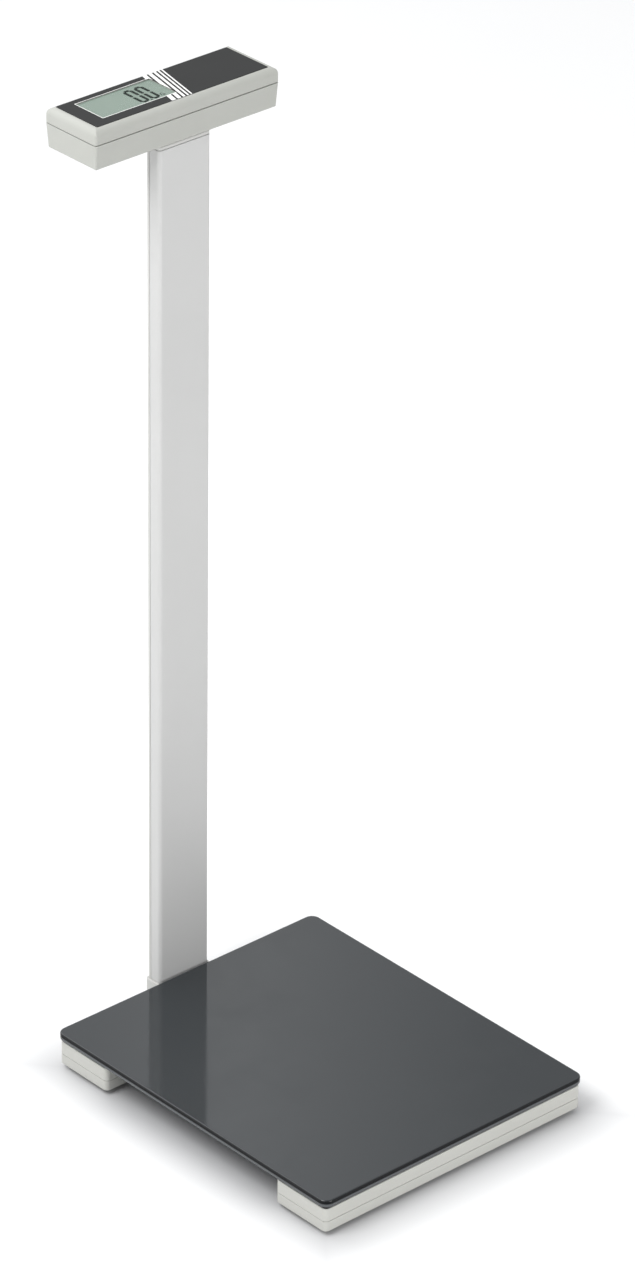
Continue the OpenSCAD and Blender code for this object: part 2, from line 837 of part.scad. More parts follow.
// Contact plate and a three-turn spring at each cell's flat end, a plain plate at its cap
module battery_contacts() {
    plate_y0 = battery_l / 2 + 3.2;
    color(steel) at_cells() {
        for (side = ends) translate([0, 0, side * plate_y0]) cube([11, 11, 0.5], center = true);
        for (turn = [0:2]) translate([0, 0, battery_l / 2 + 0.5 + turn * 0.95])
            rotate_extrude() translate([2.5 + turn, 0]) circle(0.5, $fn = 16);
        translate([0, 0, -battery_l / 2 - 2.5]) cylinder(r = 2, h = 1);
    }
}

module battery_cells() {
    color("#3d4a63") at_cells() {
        translate([0, 0, -battery_l / 2]) cylinder(r = cell_r, h = battery_l);
        translate([0, 0, -battery_l / 2 - 1.5]) cylinder(r = 2.7, h = 1.5 + touch);
    }
}

// Door with a barrel and two pins along its outer edge, and a thumb groove at its free edge
module battery_door() {
    length = door_d - 2 * door_gap;
    free_x = bay_x + door_w / 2 - door_gap;
    color(plastic) {
        difference() {
            block(free_x - hinge_x, length, door_t, (free_x + hinge_x) / 2, battery_y, case_z);
            translate([free_x - 7, battery_y, case_z - 1.2])
                rotate([90, 0, 0]) cylinder(r = 2, h = 16, center = true);
        }
        translate([hinge_x, battery_y, hinge_z]) rotate([90, 0, 0]) {
            cylinder(r = hinge_r, h = length, center = true);
            cylinder(r = hinge_pin_r, h = length + 5, center = true);
        }
    }
}

glass_plate();
front_gasket();
rear_gasket();
front_rail_top();
front_rail_base();
rear_rail_top();
rear_rail_base();
front_stiffener();
rear_stiffener();
load_cell_front_left();
load_cell_front_right();
load_cell_rear_left();
load_cell_rear_right();
load_cell_spacers();
load_cell_screws();
foot_front_left();
foot_front_right();
foot_rear_left();
foot_rear_right();
pad_front_left();
pad_front_right();
pad_rear_left();
pad_rear_right();
rail_screws();
cable_duct();
duct_screws();
junction_board();
front_leads();
rear_leads();
column_bracket();
bracket_bolts();
column_shoe();
column_profile();
column_screws();
column_rear_strip();
column_cap();
signal_cable();
head_bracket();
head_bracket_screws();
head_case();
head_lid();
head_screws();
overlay();
display_window();
display_module();
main_board();
power_switch();
power_button();
battery_tray();
battery_contacts();
battery_cells();
battery_door();
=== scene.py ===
# Electronic column scale: the looks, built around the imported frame.
import json
from math import cos, radians, sin, tan

import bmesh
import bpy
from mathutils import Matrix, Vector


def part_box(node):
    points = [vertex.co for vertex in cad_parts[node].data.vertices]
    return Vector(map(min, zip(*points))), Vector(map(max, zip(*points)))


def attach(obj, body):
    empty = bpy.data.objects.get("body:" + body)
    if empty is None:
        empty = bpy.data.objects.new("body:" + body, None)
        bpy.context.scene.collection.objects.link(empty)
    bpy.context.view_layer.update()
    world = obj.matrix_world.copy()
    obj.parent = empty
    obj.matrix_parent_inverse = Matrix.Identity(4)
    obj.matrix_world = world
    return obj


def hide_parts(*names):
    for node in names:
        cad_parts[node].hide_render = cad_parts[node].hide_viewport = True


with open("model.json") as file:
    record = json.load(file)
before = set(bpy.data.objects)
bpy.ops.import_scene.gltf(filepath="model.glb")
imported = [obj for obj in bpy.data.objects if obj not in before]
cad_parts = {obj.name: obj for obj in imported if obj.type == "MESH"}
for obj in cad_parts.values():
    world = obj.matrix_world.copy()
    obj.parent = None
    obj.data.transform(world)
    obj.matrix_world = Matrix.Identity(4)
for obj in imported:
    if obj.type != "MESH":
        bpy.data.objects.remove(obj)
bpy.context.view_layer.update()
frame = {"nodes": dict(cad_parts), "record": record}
nodes = frame["nodes"]
MM = 0.001


# ---------- camera ----------
# A long lens well away from the scale, ahead of its left front corner and a little above the head.
# Its aim is given from the middle of the glass plate, in platform widths.
glass_lo, glass_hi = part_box("glass_plate")
platform_w, platform_d = glass_hi.x - glass_lo.x, glass_hi.y - glass_lo.y
platform_y = (glass_lo.y + glass_hi.y) / 2
turn, tip, lean = radians(-42.05), radians(90 - 29.16), radians(0.715)
aim = Vector((-0.0029, 1.3028, 18.687)) * platform_w
facing = Matrix.Rotation(turn, 4, "Z") @ Matrix.Rotation(tip, 4, "X") @ Matrix.Rotation(lean, 4, "Z")
lens = bpy.data.cameras.new("camera")
lens.lens = 181.1
lens.clip_end = 60
camera = bpy.data.objects.new("camera", lens)
camera.matrix_world = Matrix.Translation((0, platform_y, 0)) @ facing @ Matrix.Translation(aim)
bpy.context.scene.collection.objects.link(camera)
bpy.context.scene.camera = camera
bpy.context.scene.view_settings.view_transform = "Standard"


# ---------- studio ----------
# A white floor that runs out of sight under a pale sky, which is brightest high up and behind, and dim low
# down, so that the floor under the glass stays dark. Soft panels hang left, behind and in front.
def linear(code):
    """An sRGB hex colour as the linear RGBA that Blender's sockets take."""
    parts = [int(code[i:i + 2], 16) / 255 for i in (1, 3, 5)]
    return tuple(c / 12.92 if c <= 0.04045 else ((c + 0.055) / 1.055) ** 2.4 for c in parts) + (1.0,)


def add(tree, kind, inputs={}, **settings):
    """Adds a node with its settings. An input that is given a socket is linked to it, any other is set."""
    node = tree.nodes.new(kind)
    for name, value in settings.items():
        setattr(node, name, value)
    for name, value in inputs.items():
        if isinstance(value, bpy.types.NodeSocket):
            tree.links.new(value, node.inputs[name])
        else:
            node.inputs[name].default_value = value
    return node


def start_material(name, **shader_inputs):
    """A new material, its tree, its shader and its Object coordinates."""
    material = bpy.data.materials.new(name)
    material.use_nodes = True
    tree = material.node_tree
    tree.nodes.clear()
    shader = add(tree, "ShaderNodeBsdfPrincipled", {k.replace("_", " "): v for k, v in shader_inputs.items()})
    add(tree, "ShaderNodeOutputMaterial", {"Surface": shader.outputs[0]})
    return material, tree, shader, add(tree, "ShaderNodeTexCoord").outputs["Object"]


def per(mm):
    """How often a pattern of this size in millimetres repeats in a metre."""
    return 1000 / mm


def ramp(tree, value, span, stops):
    """Colours along a value. The span is the value's range, and each stop is (part of the span, sRGB hex)."""
    part = add(tree, "ShaderNodeMapRange", {"Value": value, "From Min": span[0], "From Max": span[1]})
    colours = add(tree, "ShaderNodeValToRGB", {"Fac": part.outputs[0]})
    for i, (spot, code) in enumerate(stops):
        stop = colours.color_ramp.elements[i] if i < 2 else colours.color_ramp.elements.new(spot)
        stop.position = spot
        stop.color = linear(code)
    return colours.outputs[0]


sky = bpy.data.worlds.new("sky")
sky.use_nodes = True
sky.node_tree.nodes.clear()
sky_way = add(sky.node_tree, "ShaderNodeTexCoord").outputs["Generated"]
bright_way = Vector((-0.05, 0.75, 0.65)).normalized()
towards = add(sky.node_tree, "ShaderNodeVectorMath", {0: sky_way, 1: bright_way}, operation="DOT_PRODUCT")
glow = add(sky.node_tree, "ShaderNodeMapRange",
           {"Value": towards.outputs["Value"], "From Min": -0.5, "From Max": 0.95, "To Min": 0.48, "To Max": 1.0})
# An upright band of sky, two degrees wide, which the glass mirrors as a soft sheen beside the column
across_way = Vector((cos(turn), sin(turn), 0))
across = add(sky.node_tree, "ShaderNodeVectorMath", {0: sky_way, 1: across_way}, operation="DOT_PRODUCT")
sheen = ramp(sky.node_tree, across.outputs["Value"], (-0.1, 0.1), (
    (0.05, "#DADADA"), (0.32, "#E2E2E2"), (0.44, "#FFFFFF"), (0.53, "#E4E4E4"), (0.65, "#BCBCBC"), (0.75, "#B8B8B8"),
    (0.95, "#DADADA")))
banded = add(sky.node_tree, "ShaderNodeMix", {6: sheen, 7: linear("#FDFEFF")}, data_type="RGBA", blend_type="MULTIPLY")
banded.inputs["Factor"].default_value = 1.0
strength = add(sky.node_tree, "ShaderNodeMath", {0: glow.outputs[0], 1: 1.36}, operation="MULTIPLY")
sky_light = add(sky.node_tree, "ShaderNodeBackground", {"Color": banded.outputs[2], "Strength": strength.outputs[0]})
add(sky.node_tree, "ShaderNodeOutputWorld", {"Surface": sky_light.outputs[0]})
bpy.context.scene.world = sky

for name, place, size, power in (("left_panel", (-1.7, 0.0, 2.5), 1.4, 43), ("back_panel", (-0.3, 3.0, 3.4), 3.2, 42),
                                 ("front_panel", (0.2, -3.0, 1.5), 1.6, 14), ("low_panel", (0.1, -2.2, 0.35), 0.7, 9)):
    panel = bpy.data.lights.new(name, "AREA")
    panel.shape = "SQUARE"
    panel.size = size
    panel.energy = power
    light = bpy.data.objects.new(name, panel)
    light.location = place
    light.rotation_euler = (Vector((0, 0, 0.4)) - light.location).to_track_quat("-Z", "Y").to_euler()
    bpy.context.scene.collection.objects.link(light)

floor_mesh = bpy.data.meshes.new("floor")
reach = 20
floor_mesh.from_pydata([(-reach, -reach, 0), (reach, -reach, 0), (reach, reach, 0), (-reach, reach, 0)], [],
                       [(0, 1, 2, 3)])
floor = bpy.data.objects.new("floor", floor_mesh)
bpy.context.scene.collection.objects.link(floor)
# Studio floor: matt white and faintly uneven, with a painted shadow that greys it under the scale and just round it
floor_paint, tree, shader, place = start_material("painted_floor_matt_white", Roughness=0.9)
mottle = add(tree, "ShaderNodeTexNoise", {"Vector": place, "Scale": per(300), "Detail": 2})
clean = add(tree, "ShaderNodeMix", {"Factor": mottle.outputs[0], 6: linear("#FBFBFB"), 7: linear("#FDFDFD")},
            data_type="RGBA")
# Painted shadow: the floor's colour falls to #B2B2B4 under the middle of the plate and fades back to white some
# centimetres beyond its edges
in_plates = add(tree, "ShaderNodeMapping", {"Vector": place, "Location": (0, -platform_y / platform_d, 0),
                                            "Scale": (1 / platform_w, 1 / platform_d, 0)})
either_way = add(tree, "ShaderNodeVectorMath", {0: in_plates.outputs[0]}, operation="ABSOLUTE")
sides = add(tree, "ShaderNodeSeparateXYZ", {"Vector": either_way.outputs[0]})
farther = add(tree, "ShaderNodeMath", {0: sides.outputs["X"], 1: sides.outputs["Y"]}, operation="MAXIMUM")
painted_shadow_round_scale = add(tree, "ShaderNodeMapRange", {"Value": farther.outputs[0], "From Min": 0.35, "From Max": 0.75},
           interpolation_type="SMOOTHSTEP")
shade = add(tree, "ShaderNodeMix", {"Factor": painted_shadow_round_scale.outputs[0], 6: linear("#B2B2B4"), 7: clean.outputs[2]},
            data_type="RGBA")
tree.links.new(shade.outputs[2], shader.inputs["Base Color"])
floor_mesh.materials.append(floor_paint)


# ---------- rubber pads ----------
# Four round pads of black nitrile rubber, moulded and stuck under the steel feet.
# Two shallow rings are moulded into the sole, so that it grips a smooth floor.
def new_piece(name, vertices, faces):
    """An object at the origin with this mesh, its doubles merged and its faces turned outwards."""
    mesh = bpy.data.meshes.new(name)
    mesh.from_pydata([tuple(v) for v in vertices], [], faces)
    shape = bmesh.new()
    shape.from_mesh(mesh)
    bmesh.ops.remove_doubles(shape, verts=shape.verts, dist=1e-6)
    bmesh.ops.recalc_face_normals(shape, faces=shape.faces)
    shape.to_mesh(mesh)
    shape.free()
    piece = bpy.data.objects.new(name, mesh)
    bpy.context.scene.collection.objects.link(piece)
    return piece


def loft(name, rings):
    """A closed skin through rings of equal length, with a flat face across the first and the last."""
    count = len(rings[0])
    faces = [tuple(range(count)), tuple(range((len(rings) - 1) * count, len(rings) * count))]
    for low in range(0, (len(rings) - 1) * count, count):
        for i in range(count):
            j = (i + 1) % count
            faces.append((low + i, low + j, low + count + j, low + count + i))
    return new_piece(name, [p for ring in rings for p in ring], faces)


def turned(name, profile, x=0, y=0, steps=64):
    """A lathe-turned shape about an upright axis. The profile lists (radius, height) in metres."""
    turns = [radians(360 * i / steps) for i in range(steps)]
    return loft(name, [[(x + max(r, 1e-7) * cos(a), y + max(r, 1e-7) * sin(a), z) for a in turns]
                       for r, z in profile])


def flatten(piece):
    """Replaces the piece's mesh with the one that its modifiers make."""
    drawn = piece.evaluated_get(bpy.context.evaluated_depsgraph_get())
    mesh = bpy.data.meshes.new_from_object(drawn)
    piece.modifiers.clear()
    piece.data = mesh


def finish_piece(piece, material, slot, body, *replaced):
    """Smooths the piece's rounds, keeps its flats flat, gives it its material and body, and hides the CAD nodes that it
    replaces. The slot is not used.
    """
    piece.data.materials.clear()
    piece.data.materials.append(material)
    piece.data.shade_smooth()
    piece.data.set_sharp_from_angle(angle=radians(38))
    piece.modifiers.new("weighted normals", "WEIGHTED_NORMAL").keep_sharp = True
    flatten(piece)
    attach(piece, body)
    if replaced:
        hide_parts(*replaced)


# Nitrile rubber, compression moulded: deep grey rather than black, matt, with a fine dry grain
rubber, tree, shader, place = start_material("nitrile_rubber_moulded", Roughness=0.78)
grain = add(tree, "ShaderNodeTexNoise", {"Vector": place, "Scale": per(0.6), "Detail": 4})
dust = add(tree, "ShaderNodeTexNoise", {"Vector": place, "Scale": per(14), "Detail": 3})
shade = add(tree, "ShaderNodeMix", {"Factor": dust.outputs[0], 6: linear("#1B1B1C"), 7: linear("#2C2C2D")},
            data_type="RGBA")
bump = add(tree, "ShaderNodeBump", {"Height": grain.outputs[0], "Strength": 0.5, "Distance": 0.05 * MM})
tree.links.new(shade.outputs[2], shader.inputs["Base Color"])
tree.links.new(bump.outputs[0], shader.inputs["Normal"])

corners = ("front_left", "front_right", "rear_left", "rear_right")
groove = 0.5 * MM
for corner in corners:
    lo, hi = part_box("pad_" + corner)
    r, top = (hi.x - lo.x) / 2, hi.z
    sole = [(0, groove)]
    for inner, outer in ((0.24, 0.42), (0.58, 0.88)):
        sole += [(inner * r - groove, groove), (inner * r, 0), (outer * r, 0), (outer * r + groove, groove)]
    sole += [(r - groove, groove), (r, 2 * groove), (r, top - groove), (r - groove, top), (0, top)]
    pad = turned("rubber_pad_" + corner, sole, (lo.x + hi.x) / 2, (lo.y + hi.y) / 2)
    finish_piece(pad, rubber, "pad_rubber", "foot_" + corner, "pad_" + corner)


# ---------- levelling feet ----------
# Four steel feet, each a disc and a threaded stud turned in one, zinc plated and passivated.
# The disc's rim is ribbed, so that fingers can turn it. The stud's thread runs up through the load cell.
def start_tree(name, inputs):
    """A Geometry Nodes tree with these named inputs: the tree and its input sockets by name."""
    tree = bpy.data.node_groups.new(name, "GeometryNodeTree")
    tree.interface.new_socket("Geometry", in_out="OUTPUT", socket_type="NodeSocketGeometry")
    for label, kind in [("Geometry", "Geometry")] + list(inputs.items()) + [("Material", "Material")]:
        tree.interface.new_socket(label, in_out="INPUT", socket_type="NodeSocket" + kind)
    return tree, add(tree, "NodeGroupInput").outputs


def end_tree(tree, geometry, given):
    """Ends a tree in real faces with the given material."""
    whole = add(tree, "GeometryNodeRealizeInstances", {"Geometry": geometry})
    painted = add(tree, "GeometryNodeSetMaterial", {"Geometry": whole.outputs[0], "Material": given["Material"]})
    add(tree, "NodeGroupOutput", {0: painted.outputs[0]})


def grow(piece, tree, values):
    """Runs a Geometry Nodes tree on the piece with these values and keeps its result as a plain mesh."""
    modifier = piece.modifiers.new(tree.name, "NODES")
    modifier.node_group = tree
    for item in tree.interface.items_tree:
        if item.in_out == "INPUT" and item.name in values:
            modifier[item.identifier] = values[item.name]
    flatten(piece)


rib_tree, given = start_tree("ribs around a rim", {"Count": "Int", "Radius": "Float", "Height": "Float",
                                                   "Rib": "Vector", "Middle": "Vector"})
ring = add(rib_tree, "GeometryNodeMeshCircle", {"Vertices": given["Count"], "Radius": given["Radius"]})
rib = add(rib_tree, "GeometryNodeMeshCube", {"Size": given["Rib"]})
spot = add(rib_tree, "GeometryNodeInputPosition")
facing_out = add(rib_tree, "FunctionNodeAlignRotationToVector", {"Vector": spot.outputs[0]}, axis="X",
                 pivot_axis="Z")
ribs = add(rib_tree, "GeometryNodeInstanceOnPoints", {"Points": ring.outputs[0], "Instance": rib.outputs[0],
                                                      "Rotation": facing_out.outputs[0]})
placed = add(rib_tree, "GeometryNodeTransform", {"Geometry": ribs.outputs[0], "Translation": given["Middle"]})
joined = add(rib_tree, "GeometryNodeJoinGeometry", {"Geometry": given["Geometry"]})
rib_tree.links.new(placed.outputs[0], joined.inputs[0])
end_tree(rib_tree, joined.outputs[0], given)

# Zinc-plated steel, clear passivated: a cool silver with a faint cloudy stain and fine turning marks
zinc, tree, shader, place = start_material("zinc_plated_steel_passivated", Metallic=1.0)
stain = add(tree, "ShaderNodeTexNoise", {"Vector": place, "Scale": per(9), "Detail": 3})
marks = add(tree, "ShaderNodeTexNoise", {"Vector": place, "Scale": per(0.4), "Detail": 2})
shade = add(tree, "ShaderNodeMix", {"Factor": stain.outputs[0], 6: linear("#B9BDC0"), 7: linear("#D2D2CB")},
            data_type="RGBA")
gloss = add(tree, "ShaderNodeMapRange", {"Value": marks.outputs[0], "To Min": 0.26, "To Max": 0.42})
bump = add(tree, "ShaderNodeBump", {"Height": marks.outputs[0], "Strength": 0.25, "Distance": 0.02 * MM})
tree.links.new(shade.outputs[2], shader.inputs["Base Color"])
tree.links.new(gloss.outputs[0], shader.inputs["Roughness"])
tree.links.new(bump.outputs[0], shader.inputs["Normal"])

chamfer = 0.4 * MM
thread_pitch, thread_depth = 1.25 * MM, 0.55 * MM
stud_r = 4 * MM
for corner in corners:
    lo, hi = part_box("foot_" + corner)
    x, y, r = (lo.x + hi.x) / 2, (lo.y + hi.y) / 2, (hi.x - lo.x) / 2
    disc_top = lo.z + 2.6 * MM
    steel = [(0, lo.z), (r - chamfer, lo.z), (r, lo.z + chamfer), (r, disc_top - chamfer), (r - chamfer, disc_top),
             (stud_r, disc_top)]
    turns = int((hi.z - disc_top) / thread_pitch) - 1
    for i in range(turns):
        z = disc_top + thread_pitch * (i + 0.5)
        steel += [(stud_r, z), (stud_r - thread_depth, z + thread_pitch / 2)]
    steel += [(stud_r, hi.z - thread_pitch), (stud_r - thread_depth, hi.z), (0, hi.z)]
    foot = turned("levelling_foot_" + corner, steel, x, y, 48)
    grow(foot, rib_tree, {"Count": 60, "Radius": r, "Rib": (0.5 * MM, 0.6 * MM, 1.6 * MM),
                          "Middle": (x, y, (lo.z + disc_top) / 2), "Material": zinc})
    finish_piece(foot, zinc, "zinc_steel", "foot_" + corner, "foot_" + corner)


# ---------- load cells, stiffeners and duct ----------
# Four bending-beam cells milled from aluminium bar, bolted through spacers under two steel plates.
# A flat steel tube ties the rails together. These are stock pieces, so the frame's own shapes serve.
# Aluminium, milled: pale silver, with parallel cutter marks about half a millimetre apart
milled, tree, shader, place = start_material("milled_aluminium", Metallic=1.0)
shader.inputs["Base Color"].default_value = linear("#C9CBCD")
swirl = add(tree, "ShaderNodeTexWave", {"Vector": place, "Scale": per(0.5 * 20), "Distortion": 1.5, "Detail": 2},
            bands_direction="X", wave_profile="SIN")
gloss = add(tree, "ShaderNodeMapRange", {"Value": swirl.outputs["Fac"], "To Min": 0.24, "To Max": 0.4})
bump = add(tree, "ShaderNodeBump", {"Height": swirl.outputs["Fac"], "Strength": 0.3, "Distance": 0.02 * MM})
tree.links.new(gloss.outputs[0], shader.inputs["Roughness"])
tree.links.new(bump.outputs[0], shader.inputs["Normal"])

# Hot-dip galvanised steel sheet: dull blue-grey crystals, each a few millimetres across
galvanised, tree, shader, place = start_material("hot_dip_galvanised_steel_sheet", Metallic=1.0)
crystals = add(tree, "ShaderNodeTexVoronoi", {"Vector": place, "Scale": per(6), "Randomness": 1.0})
shade = add(tree, "ShaderNodeMix", {"Factor": crystals.outputs["Color"], 6: linear("#9EA3A6"),
                                    7: linear("#BFC3C4")}, data_type="RGBA")
gloss = add(tree, "ShaderNodeMapRange", {"Value": crystals.outputs["Distance"], "From Max": 0.006,
                                         "To Min": 0.34, "To Max": 0.5})
tree.links.new(shade.outputs[2], shader.inputs["Base Color"])
tree.links.new(gloss.outputs[0], shader.inputs["Roughness"])

# Rubber strip cut from sheet: matt black, which shows as a dark line under the glass
gasket_rubber = rubber.copy()
gasket_rubber.name = "nitrile_rubber_strip"

finishes = {"cell_aluminium": milled, "galvanised_steel": galvanised, "zinc_steel": zinc,
            "gasket_rubber": gasket_rubber}


def finish_nodes(*slots):
    """Gives the frame's own nodes of these slots their material."""
    for part in frame["record"]["subparts"]:
        if part["material_slot"] in slots:
            mesh = nodes[part["node"]].data
            mesh.materials.clear()
            mesh.materials.append(finishes[part["material_slot"]])


finish_nodes("cell_aluminium", "galvanised_steel", "zinc_steel", "gasket_rubber")


# ---------- rails ----------
# Each rail is two ABS shells, injection moulded against a spark-eroded tool and screwed together.
# A tongue on the lower shell locates the upper one. A fine dark seam runs round between them.
def outline(width, depth, radius, x=0, y=0, steps=8):
    """A rectangle with round corners, anticlockwise from the back right. One radius, or one a corner."""
    radii = radius if isinstance(radius, tuple) else (radius,) * 4
    points = []
    for i, (side_x, side_y) in enumerate(((1, 1), (-1, 1), (-1, -1), (1, -1))):
        r = max(radii[i], 0.05 * MM)
        for step in range(steps + 1):
            a = radians(90 * (i + step / steps))
            points.append((x + side_x * (width / 2 - r) + r * cos(a), y + side_y * (depth / 2 - r) + r * sin(a)))
    return points


def moulding(name, width, depth, radius, x, y, profile, steps=8):
    """A lofted shape from a wall's profile, which lists (distance in from the outside, height)."""
    rings = []
    for inset, z in profile:
        radii = tuple(r - inset for r in (radius if isinstance(radius, tuple) else (radius,) * 4))
        rings.append([(px, py, z) for px, py in outline(width - 2 * inset, depth - 2 * inset, radii, x, y, steps)])
    return loft(name, rings)


def arc(inset, z, r, start, end, steps=5):
    """Points of a round in a wall's profile. At 0 degrees it faces outwards and at 90 degrees upwards."""
    turns = [radians(start + (end - start) * i / steps) for i in range(steps + 1)]
    return [(inset - r * cos(a), z + r * sin(a)) for a in turns]


def block(lo, hi):
    """A plain block to cut or join with."""
    middle, size = (Vector(lo) + Vector(hi)) / 2, Vector(hi) - Vector(lo)
    return moulding("block", size.x, size.y, 0, middle.x, middle.y, [(0, lo[2]), (0, hi[2])], 1)


def rod(r, start, end, steps=32):
    """A round rod from point to point to cut or join with."""
    run = Vector(end) - Vector(start)
    shape = turned("rod", [(r, 0), (r, run.length)], steps=steps)
    shape.data.transform(Matrix.Translation(start) @ run.to_track_quat("Z", "Y").to_matrix().to_4x4())
    return shape


def combine(piece, operation, tools):
    """Cuts the tools from the piece, or joins them to it, and removes them."""
    for tool in tools:
        modifier = piece.modifiers.new("combine", "BOOLEAN")
        modifier.operation = operation
        modifier.solver = "EXACT"
        modifier.object = tool
    flatten(piece)
    for tool in tools:
        bpy.data.objects.remove(tool)


def moulded_plastic(name, pale, deep, roughness, grain_mm):
    """ABS from a spark-eroded tool: an even fine grain, softly broken highlights, a barely clouded colour."""
    material, tree, shader, place = start_material(name)
    shader.inputs["Specular IOR Level"].default_value = 0.42
    cloud = add(tree, "ShaderNodeTexNoise", {"Vector": place, "Scale": per(70), "Detail": 3})
    grain = add(tree, "ShaderNodeTexNoise", {"Vector": place, "Scale": per(grain_mm), "Detail": 3, "Roughness": 0.6})
    shade = add(tree, "ShaderNodeMix", {"Factor": cloud.outputs[0], 6: linear(deep), 7: linear(pale)},
                data_type="RGBA")
    gloss = add(tree, "ShaderNodeMapRange", {"Value": grain.outputs[0], "From Min": 0.3, "From Max": 0.7,
                                             "To Min": roughness - 0.06, "To Max": roughness + 0.06})
    bump = add(tree, "ShaderNodeBump", {"Height": grain.outputs[0], "Strength": 0.35, "Distance": 0.04 * MM})
    tree.links.new(shade.outputs[2], shader.inputs["Base Color"])
    tree.links.new(gloss.outputs[0], shader.inputs["Roughness"])
    tree.links.new(bump.outputs[0], shader.inputs["Normal"])
    return material


# The real grain is near 0.1 mm: it is drawn at 0.5 mm, so that it shows
rail_plastic = moulded_plastic("abs_moulded_spark_grain_rail", "#C1C1BC", "#BBBBB5", 0.5, 0.5)

rail_r = 5 * MM
wall = 2.5 * MM
seam_round = 0.3 * MM
tongue_gap, tongue_w = 0.1 * MM, 1.3 * MM
screw_x, screw_y = 45 * MM, 26 * MM
screw_recess, screw_head_z = 3.3 * MM, 3 * MM
foot_lo, foot_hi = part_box("foot_front_left")
foot_x = -(foot_lo.x + foot_hi.x) / 2
bracket_lo, bracket_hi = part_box("column_bracket")
duct_lo, duct_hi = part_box("cable_duct")
for end in ("front", "rear"):
    lo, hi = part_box(end + "_rail_top")
    base_lo, base_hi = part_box(end + "_rail_base")
    w, d, y = hi.x - lo.x, hi.y - lo.y, (lo.y + hi.y) / 2
    seam_z = base_lo.z + 11.3 * MM
    inner_side = 1 if end == "front" else -1

    # Upper shell: roof, walls and four posts for the screws
    roof_round = 0.8 * MM
    roof_z = hi.z - 3 * MM
    profile = arc(roof_round, hi.z - roof_round, roof_round, 90, 0)
    profile += arc(seam_round, lo.z + seam_round, seam_round, 0, -90, 3) + [(wall, lo.z), (wall, roof_z)]
    shell = moulding(end + "_rail_upper_shell", w, d, rail_r, 0, y, profile)
    posts = [rod(4.5 * MM, (sx * screw_x, y + sy * screw_y, lo.z + MM), (sx * screw_x, y + sy * screw_y, roof_z + MM))
             for sx in (-1, 1) for sy in (-1, 1)]
    combine(shell, "UNION", posts)
    inner_wall_y = y + inner_side * (d - wall) / 2
    openings = [block((duct_lo.x, inner_wall_y - wall, duct_lo.z), (duct_hi.x, inner_wall_y + wall, duct_hi.z))]
    if end == "rear":
        openings.append(block((bracket_lo.x, hi.y - 2 * wall, bracket_lo.z),
                              (bracket_hi.x, hi.y + wall, bracket_lo.z + 3.1 * MM)))
    combine(shell, "DIFFERENCE", openings)
    finish_piece(shell, rail_plastic, "rail_plastic", "scale", end + "_rail_top")

    # Lower shell: floor with a softly rounded edge, walls, tongue, and holes for the feet and screws
    floor_round = 1.2 * MM
    profile = arc(floor_round, base_lo.z + floor_round, floor_round, -90, 0)
    profile += arc(seam_round, seam_z - seam_round, seam_round, 0, 90, 3)
    profile += [(wall + tongue_gap, seam_z), (wall + tongue_gap, base_hi.z), (wall + tongue_w, base_hi.z),
                (wall + tongue_w, base_lo.z + wall)]
    tray = moulding(end + "_rail_lower_shell", w, d, rail_r, 0, y, profile)
    posts = [rod(4.5 * MM, (sx * screw_x, y + sy * screw_y, base_lo.z + MM), (sx * screw_x, y + sy * screw_y, seam_z))
             for sx in (-1, 1) for sy in (-1, 1)]
    combine(tray, "UNION", posts)
    holes = [rod(5.5 * MM, (sx * foot_x, y, -MM), (sx * foot_x, y, base_lo.z + 2 * wall)) for sx in (-1, 1)]
    for sx in (-1, 1):
        for sy in (-1, 1):
            spot = Vector((sx * screw_x, y + sy * screw_y, -MM))
            holes.append(rod(screw_recess, spot, (spot.x, spot.y, base_lo.z + screw_head_z)))
            holes.append(rod(1.8 * MM, spot, (spot.x, spot.y, seam_z + MM)))
    holes.append(block((duct_lo.x - 2 * MM, inner_wall_y - 2 * wall, seam_z),
                       (duct_hi.x + 2 * MM, inner_wall_y + 2 * wall, base_hi.z + MM)))
    combine(tray, "DIFFERENCE", holes)
    finish_piece(tray, rail_plastic, "rail_plastic", "scale", end + "_rail_base")


# ---------- screws ----------
# Thread-forming pan-head screws of zinc-plated steel, driven up into the rails and into the head.
# Each has a cross recess, and no two stopped at the same angle.
screw_tree, given = start_tree("screws on points", {"Screw": "Object", "Seed": "Int"})
source = add(screw_tree, "GeometryNodeObjectInfo", {"Object": given["Screw"]})
angle = add(screw_tree, "FunctionNodeRandomValue", {2: 0.0, 3: 3.14, "Seed": given["Seed"]}, data_type="FLOAT")
about_z = add(screw_tree, "ShaderNodeCombineXYZ", {"Z": angle.outputs[1]})
screws = add(screw_tree, "GeometryNodeInstanceOnPoints", {"Points": given["Geometry"],
             "Instance": source.outputs["Geometry"], "Rotation": about_z.outputs[0]})
end_tree(screw_tree, screws.outputs[0], given)


def screw_group(name, node, head_r, head_h, shank_r, length, spots, seed):
    """Screws in place of a frame node, heads down. Each spot is the middle of a head's upper side."""
    profile = [(0, -head_h), (0.5 * head_r, -head_h), (0.82 * head_r, -0.86 * head_h), (head_r, -0.5 * head_h),
               (head_r, 0), (shank_r, 0), (shank_r, length - shank_r), (0.2 * shank_r, length), (0, length)]
    screw = turned("screw", profile, steps=40)
    cross_l, cross_w, cross_d = 0.62 * head_r, 0.13 * head_r, 0.6 * head_h
    combine(screw, "DIFFERENCE", [block((-cross_l, -cross_w, -2 * head_h), (cross_l, cross_w, cross_d - head_h)),
                                  block((-cross_w, -cross_l, -2 * head_h), (cross_w, cross_l, cross_d - head_h))])
    group = new_piece(name, spots, [])
    grow(group, screw_tree, {"Screw": screw, "Seed": seed, "Material": zinc})
    bpy.data.objects.remove(screw)
    finish_piece(group, zinc, "zinc_steel", "scale", node)


